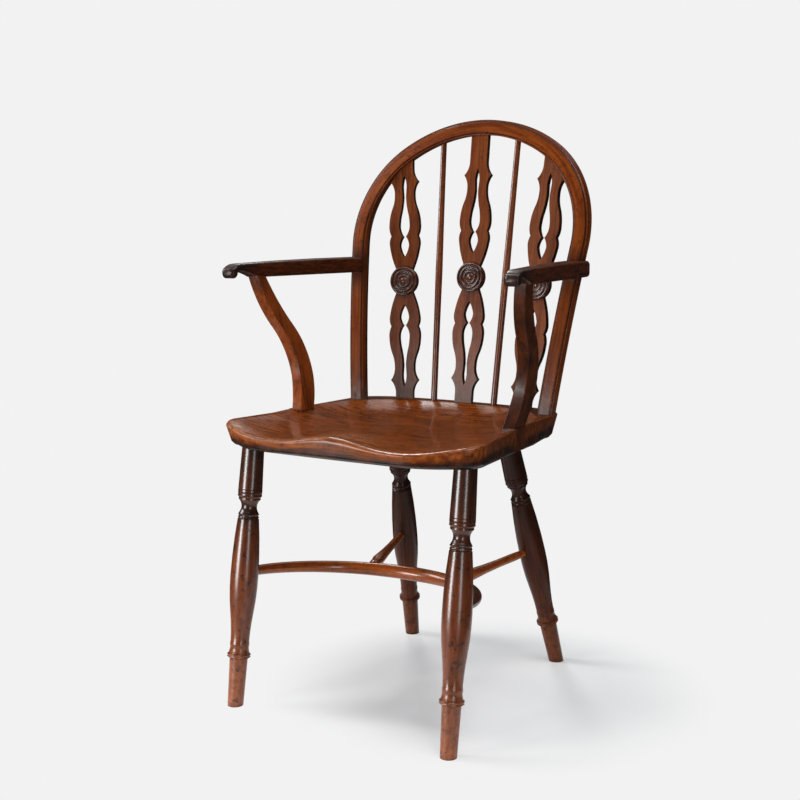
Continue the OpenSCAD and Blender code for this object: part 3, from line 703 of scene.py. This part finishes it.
# %% The straight stick and its former
HOOP_R, HOOP_Y, HOOP_Z = 184, -180.5, 205
HOOP_TILT = math.radians(6.8)
HOOP_END = math.radians(90.5)        # from the middle to each end

length = 2 * HOOP_END * HOOP_R
rows = [[0, 0], [7.4, 0], [7.8, 8], [9.4, length * 0.22], [10.7, length * 0.40],
        [11.2, length / 2], [10.7, length * 0.60], [9.4, length * 0.78], [7.8, length - 8],
        [7.4, length], [0, length]]
fine = []
for before, after in zip(rows, rows[1:]):
    count = max(1, round((after[1] - before[1]) / 5))
    for n in range(count):
        t = n / count
        fine.append(tuple(a + (b - a) * t for a, b in zip(before, after)))
hoop = turn_on_lathe("bent_hoop", fine + [(0, length)], steps=32)
remember_grain(hoop, shift=7.9)
print("hoop blank", round(length), "mm long")

# %% Bend the hoop
straight = stick_points(hoop)
angle = straight[:, 2] / (HOOP_R * MM) - HOOP_END
radius = HOOP_R * MM + straight[:, 0]
set_points(hoop, np.stack([radius * np.sin(angle), radius * np.cos(angle), straight[:, 1]], 1))
face_outward(hoop)
# painted shade: the third beside the right leg is darkened, where it lies in shadow under the
# seat
paint(hoop, "dirt_and_shade", 0.85 * np.clip((np.degrees(angle) - 30) / 12, 0, 1))
settle(hoop, Matrix.Translation((0, HOOP_Y * MM, HOOP_Z * MM))
       @ Matrix.Rotation(-HOOP_TILT, 4, "X"))
smooth(hoop)
hand_over(hoop, "hoop", hoop_finish)

# %% [markdown]
# ## Spurs
#
# Two short turned sticks tie the hoop to the rear legs. They are thin at the leg
# and swell just before the hoop, so they are lathe pieces like the legs.

# %% Turn the spurs
SPUR_X, SPUR_Z = 76.5, 204           # where it meets the hoop, and the leg
forward = HOOP_R * math.cos(math.asin(SPUR_X / HOOP_R))
spur_hoop = Vector((SPUR_X, HOOP_Y + forward * math.cos(HOOP_TILT),
                    HOOP_Z - forward * math.sin(HOOP_TILT)))
foot, top = REAR_LEG
spur_leg = foot + (top - foot) * SPUR_Z / SEAT_UNDER
run = (spur_leg - spur_hoop).length
spur = turn_on_lathe("turned_spur_right", outline(
    [[0, 0], [5.5, 0], [5.6, 9, -1.0], [8.3, 23, 0.5], [9.75, 40, 1.2], [6.7, run - 50, -0.2],
     [5.6, run - 24], [5.5, run + 4], [0, run + 4]]), steps=40)
remember_grain(spur, shift=9.3)
settle(spur, lean(spur_hoop, spur_leg))
smooth(spur)
hand_over(spur, "spur_right", hoop_finish)
hand_over(mirrored(spur), "spur_left", hoop_finish)

# %% [markdown]
# ## Saddle seat
#
# The seat is one thick elm plank, hollowed with an adze and a scraper. A carver
# bores a few shallow holes to known depths and works down to them, and this cell
# does the same: the plank is drawn flat, with rings of points that close in on the
# middle, and the depth at each point then comes from one short rule.

# %% The seat's outline
SEAT_TOP = 444
seat_rows = [[0, -242.5, -0.6], [126, -239.5, -4.5], [197, -215.5, -8], [223.5, -178.5, 4.2],
             [192.5, 100, -6], [172, 143, -4], [120, 162, -1.9], [0, 169.5, 0]]


def both_halves(points):
    """A right-hand outline joined to its mirror image, along the Y axis."""
    return points + [(-x, y) for x, y in points[::-1] if x > 0.001]


def evenly(points, gap):
    """A closed outline with extra points, none further apart than the gap."""
    line = []
    for (ax, ay), (bx, by) in zip(points, points[1:] + points[:1]):
        count = max(1, math.ceil(math.hypot(bx - ax, by - ay) / gap))
        line += [(ax + (bx - ax) * n / count, ay + (by - ay) * n / count) for n in range(count)]
    return line


edge = evenly(both_halves(outline(seat_rows)), 3.6)
print("seat outline of", len(edge), "points")

# %% The plank, with levels up its side and rings of points over its top
plank = flat_face("elm_seat", edge)
MIDDLE_Y = -34       # where the rings of points close, in millimetres
LEVELS = 18          # rows of points up the side
ROUND_ROWS = 7       # how many of them go round the top edge
RINGS = 80           # rings of points over the top

edit(plank)
for _ in range(LEVELS):
    pull(0, 0, 1)
for n in range(RINGS):
    bpy.ops.mesh.inset(thickness=0)
    shrink = (RINGS - 0.7 - n) / (RINGS + 0.3 - n)
    bpy.ops.transform.resize(value=(shrink, shrink, 1), center_override=(0, MIDDLE_Y * MM, 0))
bpy.ops.mesh.poke()
face_outward(plank)
print("plank", len(plank.data.polygons), "faces")


# %% Hollow the seat
DISH = 19.5                          # depth of the dish
DISH_HALF, DISH_WIDER = 197, 32      # its half width at the back, and what the front adds
DISH_BACK = 158                      # from its middle to its rear wall
OVAL = 2.5                           # the shape of that wall: 2 is an ellipse
RIDGE, POMMEL = 2, 14.5              # rise between the thighs, and what the pommel adds


def hollow(x, y):
    """Depth of the saddle below the rim, in millimetres."""
    x = np.abs(x)
    forward = np.clip(-y / 242, 0, 1)
    # the wall of the dish: round at the back, open at the front
    half = DISH_HALF + DISH_WIDER * np.clip((-y - 10) / 232, 0, 1)
    back = np.clip((y + 10) / DISH_BACK, 0, None)
    reach = ((x / half) ** OVAL + back ** OVAL) ** (1 / OVAL)
    wall = np.clip(1 - reach ** 3.4, 0, 1) ** 1.12
    # the ridge between the thighs rises to the pommel
    ridge = (RIDGE + POMMEL * forward ** 1.35) * np.exp(-(x / (60 + 8 * forward)) ** 2)
    return np.maximum(0, DISH + 0.5 * forward - ridge) * wall


# how far the bottom edge lies inside the top one, and how far the top edge is
# rounded, from the front edge to the back
UNDERCUT = ((-242, 1.5), (-239, 1.2), (-230, 4), (-215, 7.5), (-176, 7.5), (-111, 3),
            (-41, 0.3), (30, 0.5), (99, 10), (138, 7), (170, 6))
ROUNDING = ((-242, 8), (-225, 8), (-200, 5), (-170, 3), (-60, 2.4), (40, 2.2), (170, 2))
CHAMFER = 4.5


def from_middle(x, y):
    """Distance and bearing of points from the middle of the rings."""
    return np.hypot(x, y - MIDDLE_Y), np.arctan2(y - MIDDLE_Y, x)


x, y, z = stick_points(plank).T / MM
reach, bearing = from_middle(x, y)
rim_reach, rim_bearing = from_middle(*np.array(edge).T)
full = np.interp(bearing, rim_bearing, rim_reach, period=2 * math.pi)
rim_y = full * np.sin(bearing) + MIDDLE_Y
step = np.round(z).astype(int)
on_top = (step == LEVELS) & (reach < full - 0.2)

# up the side: a chamfer, a straight undercut face, then a quarter round
under, ease = table(rim_y, UNDERCUT), table(rim_y, ROUNDING)
thick = SEAT_TOP - SEAT_UNDER
side_share = np.clip((step - 2) / (LEVELS - 2 - ROUND_ROWS), 0, 1)
turn = np.clip(step - (LEVELS - ROUND_ROWS), 0, ROUND_ROWS) / ROUND_ROWS * math.pi / 2
inset = under * (1 - side_share) + np.where(step == 0, CHAMFER, 0) + np.where(step == 1, 0.4, 0)
height = np.where(step == 0, 0, np.where(step == 1, CHAMFER - 0.4, CHAMFER
                  + (thick - ease - CHAMFER) * side_share))
inset += ease * (1 - np.cos(turn))
height += ease * np.sin(turn)
spread = np.where(on_top, (full - ease) * reach / full, full - inset)
# the rim falls a little toward the edge along the front half of the sides
fall = 3.0 * np.clip((-rim_y - 38) / 60, 0, 1) * np.clip((225 + rim_y) / 20, 0, 1)
x = spread * np.cos(bearing)
y = spread * np.sin(bearing) + MIDDLE_Y
slope = np.clip(1 - (full - spread) / 16, 0, 1) * fall
share = np.clip(height / thick, 0, 1)
lowered = hollow(x, y) + slope
z = SEAT_UNDER + np.where(step < LEVELS, height, thick) - lowered * share ** 1.4
# the scraper left long shallow ripples, and the front edge has been knocked
z -= on_top * 0.35 * (np.sin(x / 17 + 1.3 * np.sin(y / 29)) * np.sin(y / 13 + 0.8) + 0.4)
KNOCKS = 260
dents = np.random.RandomState(7).rand(KNOCKS) ** 5
knock = np.interp(bearing, np.linspace(-math.pi, math.pi, KNOCKS), dents)
z -= ~on_top * (rim_y < -150) * np.sin(2 * turn) * knock
remember_grain(plank, along="X", shift=5.2)
set_points(plank, np.stack([x, y, z], 1) * MM)
smooth(plank, 50)
for at in ((0, -242), (100, -240), (186, -218), (0, 0), (100, 0), (0, 120)):
    print("hollow at", at, round(float(hollow(*at)), 1))

# %% Rub the front edge pale, and paint shade on the seat's sides
front = np.clip((-rim_y - 150) / 60, 0, 1)
band = np.where(on_top, np.clip(1 - (full - spread - ease) / 26, 0, 1),
                0.6 * np.clip((share - 0.45) / 0.35, 0, 1))
pommel = on_top * np.exp(-(x / 55) ** 2 - ((y + 200) / 35) ** 2)
# the rubbed band is wear; its fading toward the right end is painted shade
worn_away = 0.95 * front * band * np.clip(0.75 - x / 300, 0.2, 1)
worn_away += 0.35 * (1 - front) * (turn > 0.6) * ~on_top
paint(plank, "rubbed", np.maximum(worn_away, 0.8 * pommel))
# painted shade: the chamfer and the lower side are darkened, the sides beyond the front more so
on_side = step < LEVELS
low = on_side * (np.clip(1.6 - share / 0.36, 0, 1) + 0.6 * (1 - front))
# the rear rim behind the dish is painted darker
behind = 0.55 * on_top * (hollow(x, y) < 0.8) * np.clip((y + 60) / 60, 0, 1)
paint(plank, "dirt_and_shade", np.clip(low + behind, 0, 1))
hand_over(plank, "seat", seat_finish)

# %% [markdown]
# ## Bow
#
# The bow is one long bent stick with a bead worked along both front edges, set off
# by a scratched groove. Its section is drawn once, pulled out straight, and then
# bent twice: along the front view's arcs, and backward over its whole height.

# %% The bow's section, with beads and grooves
BOW_WIDE = 25.5
GROOVE = 3.3         # from the edge to the middle of the groove
bead = [[0, 15.5], [0, 2.0, 1.0], [2.5, 1.5], [3.0, 1.0], [3.6, 1.0], [4.3, 0.15], [5.2, 0]]
half_section = outline(bead, step=25)
section = (half_section + [(BOW_WIDE - a, b) for a, b in half_section[::-1]]
           + outline([[BOW_WIDE, 15.5, -1.3], [21.0, 20], [4.5, 20, -1.3], [0, 15.5]],
                     step=12)[1:-1])
print("bow section of", len(section), "points")

# %% The bow's front view as one measured line
CROWN_R, SHOULDER_R, SPREAD, FLARE = 227.9, 150.3, math.radians(33.6), math.radians(6.26)
BOW_TOP, BOW_FOOT = 886.4, 439.0
TURN = math.pi / 2 + FLARE - SPREAD  # how far the shoulder turns
crown = (0.0, BOW_TOP - CROWN_R)
shoulder = ((CROWN_R - SHOULDER_R) * math.sin(SPREAD),
            crown[1] + (CROWN_R - SHOULDER_R) * math.cos(SPREAD))
hip = (shoulder[0] + SHOULDER_R * math.cos(FLARE), shoulder[1] - SHOULDER_R * math.sin(FLARE))
post = (hip[1] - BOW_FOOT) / math.cos(FLARE)
curve = SHOULDER_R * TURN
arch = CROWN_R * SPREAD
half_bow = post + curve + arch


def bow_line(s, out):
    """Front-view place of a point s along the right half and 'out' from the inner edge."""
    up = np.clip(s, 0, post)
    x = hip[0] - (post - up) * math.sin(FLARE) + out * math.cos(FLARE)
    z = hip[1] - (post - up) * math.cos(FLARE) - out * math.sin(FLARE)
    t = np.clip((s - post) / SHOULDER_R, 0, TURN) - FLARE
    bent = s > post
    x = np.where(bent, shoulder[0] + (SHOULDER_R + out) * np.cos(t), x)
    z = np.where(bent, shoulder[1] + (SHOULDER_R + out) * np.sin(t), z)
    t = math.pi / 2 - SPREAD + (s - post - curve) / CROWN_R
    over = s > post + curve
    x = np.where(over, (CROWN_R + out) * np.cos(t), x)
    z = np.where(over, crown[1] + (CROWN_R + out) * np.sin(t), z)
    return x, z


# %% Pull the stick out and bend it
BEND_R, LEAN = 2137, math.radians(7.43)
BEND_Y, BEND_Z = 97 + BEND_R * math.cos(LEAN), SEAT_TOP - BEND_R * math.sin(LEAN)

bow = flat_face("bent_bow", section)
pull_up(bow, 2 * half_bow, steps=236)
remember_grain(bow, shift=11.7)
across, deep, s = stick_points(bow).T / MM
side = np.where(s > half_bow, -1, 1)
x, z = bow_line(np.minimum(s, 2 * half_bow - s), across)
y = BEND_Y - np.sqrt((BEND_R - deep) ** 2 - (z - BEND_Z) ** 2)
set_points(bow, np.stack([side * x, y, z], 1) * MM)
# painted shade: the grooves beside the beads and the bow's inner side face are darkened
groove = (np.abs(np.minimum(across, BOW_WIDE - across) - GROOVE) < 0.9) & (deep < 4)
inner_side = (across < 0.2) & (deep > 2.5)
paint(bow, "dirt_and_shade", groove | inner_side)
face_outward(bow)
smooth(bow, 32, planed=True)
hand_over(bow, "bow", bow_finish)
print("bow blank", round(2 * half_bow), "mm long")

# %% [markdown]
# ## Pierced splats
#
# Three thin boards fill the back. Each is sawn to a wavy outline with pointed ears,
# and pierced above and below its roundel with a drop, a pinch and a round lobe. One
# board is sawn and pierced here, and the other two are copies of it.

# %% Saw out one splat
THICK = 8.5
splat_rows = [[15.8, 22, -1.4], [27, 60, -1.6], [24.3, 77.5, -1.6], [28, 98, -1.4],
              [21.5, 127, 1.0], [17.8, 148, 2.2], [25.2, 170, 2.6], [15.8, 193], [15.8, 262]]
pierce_rows = [[0, 40, -1.4], [8.8, 61, -1.3], [2.8, 76, -1.6], [9.9, 94, -0.4],
               [8.0, 112, 0.9], [3.0, 144], [4.2, 162, -0.9], [0, 181]]
upper = outline(splat_rows)
waist = [(23.8 * math.cos(t), 23.8 * math.sin(t))
         for t in np.linspace(-math.radians(52), math.radians(52), 21)]
right_side = [(x, -y) for x, y in upper[::-1]][:-1] + waist + upper[1:]
splat = flat_face("pierced_splat_centre", both_halves(right_side))
pull_up(splat, THICK)
drop = both_halves(outline(pierce_rows))
for sign in (1, -1):
    waste = flat_face("waste", [(x, sign * y) for x, y in drop])
    pull_up(waste, 20)
    waste.location.z = -6 * MM
    saw_out(splat, waste)
soften(splat, 0.8)
print("splat", len(splat.data.polygons), "faces")


# %% Stand the splats
def placed(x, y, z, degrees):
    """A placement in millimetres and degrees round X, Y and Z."""
    return (Matrix.Translation(Vector((x, y, z)) * MM)
            @ Euler([math.radians(turn) for turn in degrees]).to_matrix().to_4x4())


# each splat's front face, at the middle of its roundel
MIDDLE_SPLAT = placed(0, 178.2, 652, (-7, 0, 0))
SIDE_SPLAT = placed(125.6, 170.6, 643, (-7, 3.1, -8))

upright = Matrix.Rotation(math.radians(90), 4, "X") @ Matrix.Translation((0, 0, -THICK * MM))
splat_side = copied(splat, "pierced_splat_right")
for piece, place, shift in ((splat, MIDDLE_SPLAT, 13.3), (splat_side, SIDE_SPLAT, 15.9)):
    settle(piece, upright)
    remember_grain(piece, shift=shift)
    # painted shade: the sawn edges are darkened
    paint(piece, "dirt_and_shade", np.abs(facings(piece)[:, 1]) < 0.3, "FACE")
    settle(piece, place)
    saw_off(piece, (0, 0, (SEAT_TOP - 3) * MM), (0, 0, 1), beyond=False)

# %% [markdown]
# The tops of the splats end inside the bow, so each is cut off a few millimetres
# past the bow's inner edge. The cut of an outer splat follows that edge.

# %% Trim the tops inside the bow
INTO_BOW = 9         # how far an outer splat reaches past the bow's inner edge
SPLAT_AT = 140       # and how far from the chair's middle
along_bow = np.linspace(post, half_bow, 400)
bow_edge = np.array(bow_line(along_bow, 0))
within = np.array(bow_line(along_bow, INTO_BOW))
n = int(np.argmin(np.abs(within[0] - SPLAT_AT)))
for piece, (x, z), (over, up) in ((splat, (0, BOW_TOP + 7), (0, 1)),
                                  (splat_side, within[:, n], (within - bow_edge)[:, n])):
    saw_off(piece, Vector((x, 0, z)) * MM, Vector((over, 0, up)).normalized())
    face_outward(piece)
splat_other = mirrored(splat_side)
for piece, node in ((splat, "splat_centre"), (splat_side, "splat_right"),
                    (splat_other, "splat_left")):
    smooth(piece, 35, planed=True)
    hand_over(piece, node, splat_finish)

# %% [markdown]
# ## Roundels
#
# Each splat carries a small turned disc with three raised rings and a boss. Its
# height is worked out every quarter of a millimetre from rim to middle: the plate,
# the round tops of the rings, and the grooves between them.

# %% Turn a roundel
ROUNDEL_R, PLATE = 25, 3.4           # its radius, and the plate's thickness
BOSS_R, BOSS_RISE = 9.6, 2.2         # the ball that the boss is part of
# (distance in from the rim, height of the middle over the plate, radius)
RINGS_AT = ((2.2, 0, 1.9), (8, -0.2, 2.3), (15.2, -0.3, 2.0))
GROOVES_AT = ((11.8, 0.7, 1.1), (4.9, 0.5, 0.9))


def roundel_height(r):
    """Height of the roundel's face over the splat at a radius, in millimetres."""
    inward = ROUNDEL_R - r
    height = PLATE if inward > 0.4 else 3.0
    for place, lift, size in RINGS_AT:
        if abs(inward - place) < size:
            height = max(height, PLATE + lift + math.sqrt(size ** 2 - (inward - place) ** 2))
    if r < 6:
        height = max(height, PLATE + BOSS_RISE - BOSS_R + math.sqrt(BOSS_R ** 2 - r ** 2))
    for place, lift, size in GROOVES_AT:
        if abs(inward - place) < size:
            height = min(height, PLATE + lift - math.sqrt(size ** 2 - (inward - place) ** 2))
    return height


face = [(r, roundel_height(r)) for r in np.arange(ROUNDEL_R - 0.25, 0.1, -0.25)]
rows = ([(0, -1.5), (24.2, -1.5), (ROUNDEL_R, 0.8), (ROUNDEL_R, 2.4)] + face
        + [(0, roundel_height(0))])
roundel = turn_on_lathe("turned_roundel_centre", rows, steps=72)
remember_grain(roundel, along="X", shift=17.5)
# painted shade: the grooves are darkened, by (radius, amount)
GROOVE_SHADE = ((0, 0), (6.6, 0), (7.4, 1), (8.2, 0), (10.6, 0), (12, 1), (12.8, 1), (14.2, 0.6),
        (15, 0), (17, 0), (19.4, 0.3), (20.6, 1), (21.4, 0.3), (23.6, 0))
x, y, z = stick_points(roundel).T / MM
paint(roundel, "dirt_and_shade", 0.8 * table(np.hypot(x, y), GROOVE_SHADE))
smooth(roundel, 50)
roundel_side = copied(roundel, "turned_roundel_right")
shift_grain(roundel_side, 0.9)
facing = Matrix.Rotation(math.radians(90), 4, "X")
settle(roundel, MIDDLE_SPLAT @ facing)
settle(roundel_side, SIDE_SPLAT @ facing)
hand_over(roundel, "roundel_centre", dark_finish)
hand_over(roundel_side, "roundel_right", dark_finish)
hand_over(mirrored(roundel_side), "roundel_left", dark_finish)

# %% [markdown]
# ## Spindles
#
# Two slender sticks stand between the splats, a little thicker at mid height.

# %% Turn the spindles
SPINDLE_X, SPINDLE_Y = 70.1, 156     # at the bow, and at the seat
spindle_top = crown[1] + math.sqrt(CROWN_R ** 2 - SPINDLE_X ** 2)
back = (spindle_top - SEAT_TOP) * math.tan(math.radians(7))
foot = Vector((57.1, SPINDLE_Y, SEAT_TOP))
head = Vector((SPINDLE_X, SPINDLE_Y + back, spindle_top))
run = (head - foot).length
spindle = turn_on_lathe("spindle_stick_right", outline(
    [[0, -4], [5.3, -4, 0.3], [5.9, run / 2, 0.3], [4.8, run + 6], [0, run + 6]], step=0.4),
    steps=28)
remember_grain(spindle, shift=19.1)
settle(spindle, lean(foot, head))
smooth(spindle)
hand_over(spindle, "spindle_right", spindle_finish)
hand_over(mirrored(spindle), "spindle_left", spindle_finish)

# %% [markdown]
# ## Arms
#
# An arm curls down over its front, hollows under the curl, runs inward to the bow
# and is lapped round its outside. All its edges are worn round. It is drawn as a
# stack of rounded boxes that is pulled out ring by ring: the side view gives each
# ring its top and underside, and the plan its two sides.

# %% The arm's side view, as a top line and an underside
ARM_UNDER = 656.5
# short names for the outline's rows: front, rear, underside and top
f, r, u, h = -158.0, 165.5, ARM_UNDER, ARM_UNDER + 22.5
high = np.array(outline([[r, u + 13, -4.6], [150, u + 27, -1.2], [f + 20, h, -1.4],
                         [f + 3.5, h - 6.4, -1.5], [f, h - 13.2]]))[::-1]
low = np.array(outline([[f, h - 13.2, -1.3], [f + 2, h - 19.4, -0.8], [f + 6, u - 0.2, -1.8],
                        [f + 10.5, u + 5.5], [f + 12.5, u + 10.6, 1.2], [f + 26, u + 9.2, 1.2],
                        [-104, u + 0.3], [152, u + 1.5, -4.0], [r, u + 13]]))
for line in (high, low):
    line[:, 0] = np.maximum.accumulate(np.clip(line[:, 0], f, None))

# a ring wherever the side view has risen by half a millimetre, or run on by five
stations = [f + 0.02]
for y in np.arange(f, r, 0.02):
    rise = max(abs(np.interp(y, *line.T) - np.interp(stations[-1], *line.T))
               for line in (high, low))
    if rise > 0.55 or y - stations[-1] > 5:
        stations.append(y)
stations = np.array(stations + [r - 0.02])
print("arm of", len(stations), "rings")

# %% Pull the arm out ring by ring
ARM_EDGE = 5.0       # largest rounding of the arm's edges


def rounding(reach, size):
    """How far a rounded end stands in at a distance from its tip."""
    return size - np.sqrt(np.clip(size ** 2 - np.clip(size - reach, 0, size) ** 2, 0, None))


CORNER = 7           # points round each corner of the section
COUNT = 4 * CORNER
turns = np.concatenate([np.linspace(q * 90, q * 90 + 90, CORNER) for q in range(4)])
around = np.arange(COUNT) * 2 * math.pi / COUNT
arm = flat_face("scrolled_arm_right", list(zip(10 * np.cos(around), 10 * np.sin(around))))
pull_up(arm, len(stations) - 1, steps=len(stations) - 1)
x, y, z = stick_points(arm).T / MM
spoke = np.round(np.arctan2(y, x) / (2 * math.pi) * COUNT).astype(int) % COUNT
theta = np.radians(turns)[spoke]
y = stations[np.round(z).astype(int)]
top, under = np.interp(y, *high.T), np.interp(y, *low.T)
nose, tail = rounding(y - f, 5), rounding(r - y, 9)
inner = table(y, ((f, 234.5), (138, 188.0), (146, 200.0), (166, 210.5))) + nose + 0.3 * tail
outer = table(y, ((f, 258.2), (150, 225.2), (r, 221.3))) - nose - 0.7 * tail
tall, wide = np.maximum(top - under, 0.2), outer - inner
round_off = np.minimum(ARM_EDGE, 0.49 * np.minimum(tall, wide))
quarter = spoke // CORNER
right, up = np.isin(quarter, (0, 3)), np.isin(quarter, (0, 1))
x = np.where(right, outer - round_off, inner + round_off) + round_off * np.cos(theta)
z = np.where(up, top - round_off, under + round_off) + round_off * np.sin(theta)
# four shallow reeds are carved across the curl, and its end has darkened in the hand
for down in (5.6, 9.8, 14.0, 18.0):
    y = y + 0.5 * np.exp(-((z - h + down) / 0.8) ** 2) * (y < f + 9) * (z < h - 3)
set_points(arm, np.stack([x, y, z], 1) * MM)
remember_grain(arm, along="Y", shift=(0.4, 0.2, 0.9))
face_outward(arm)
paint(arm, "dirt_and_shade", 0.9 * np.clip((f + 75 - stick_points(arm)[:, 1] / MM) / 55, 0, 1))
arm_other = mirrored(arm)
for piece, node in ((arm, "arm_right"), (arm_other, "arm_left")):
    smooth(piece, 40)
    hand_over(piece, node, arm_finish)

# %% [markdown]
# ## Arm supports
#
# Each support is a bent-looking blade sawn to an S from a board and set leaning
# outward. Its foot is let into the side of the seat and planed flush with it.

# %% Saw and lean the supports
SUPPORT_LEAN, SUPPORT_THICK = math.radians(11.6), 19.5
SUPPORT_OUT = 201.5                  # outer face at the seat's top, from the middle
FOOT_Y = (-55, -18.5)                # front and rear of the foot
inside = SUPPORT_OUT - SUPPORT_THICK / math.cos(SUPPORT_LEAN)
support_rows = [[FOOT_Y[0], -8], [FOOT_Y[1], -8], [FOOT_Y[1], 0, -2.8], [-5, 52, -8],
                [-36, 138, 4.1], [-89, 228], [-108, 228, -6], [-72, 142, 8.3],
                [-40, 56, 2], [FOOT_Y[0], 0]]
support = flat_face("sawn_support_right",
                    evenly(outline(support_rows, closed=True, step=3), 12))
pull_up(support, SUPPORT_THICK)
soften(support, 2.0, rows=3)
stand = Matrix(((0, 0, 1, 0), (1, 0, 0, 0), (0, 1, 0, 0), (0, 0, 0, 1)))
settle(support, stand)
remember_grain(support, shift=23.9)
settle(support, Matrix.Translation(Vector((inside, 0, SEAT_TOP)) * MM)
       @ Matrix.Rotation(SUPPORT_LEAN, 4, "Y"))
level(support, SEAT_TOP - 2, ARM_UNDER + 3)

# %% Let the foot into the seat's side
FOOT_LOW, FOOT_TALL = 409.6, 34
ROOM = 0.15          # play of the foot in its notch


def seat_edge_x(y):
    """Half width of the seat at a distance y from the middle, in millimetres."""
    return float(table(y, [(b, a) for a, b in outline(seat_rows) if b > -178]))


foot_plan = ([(inside, FOOT_Y[0])]
             + [(seat_edge_x(y) + 0.1, y) for y in np.linspace(*FOOT_Y, 8)]
             + [(inside, FOOT_Y[1])])
foot_block = flat_face("support_foot_right", foot_plan)
pull_up(foot_block, FOOT_TALL)
soften(foot_block, 0.5)
settle(foot_block, Matrix.Translation((0, 0, FOOT_LOW * MM)))
remember_grain(foot_block, shift=23.9)

# the waste reaches past the plank's edge, and below and above it
front, rear = FOOT_Y[0] - ROOM, FOOT_Y[1] + ROOM
for sign in (1, -1):
    wall, past = sign * (inside - ROOM), sign * 240
    notch = flat_face("waste", [(wall, front), (past, front), (past, rear), (wall, rear)])
    pull_up(notch, 60)
    notch.location.z = 395 * MM
    saw_out(plank, notch)
smooth(plank, 50)

only(foot_block)
support.select_set(True)
bpy.context.view_layer.objects.active = support
bpy.ops.object.join()
support_other = mirrored(support)
# painted shade: the right support is dark all over, the left one only on its outer face
paint(support, "dirt_and_shade", 0.9, "FACE")
paint(support_other, "dirt_and_shade", 0.85 * (facings(support_other)[:, 0] < -0.8), "FACE")
for piece, node in ((support, "support_right"), (support_other, "support_left")):
    smooth(piece, 40, planed=True)
    hand_over(piece, node, support_finish)

# %% Leave nothing selected
bpy.ops.object.select_all(action="DESELECT")
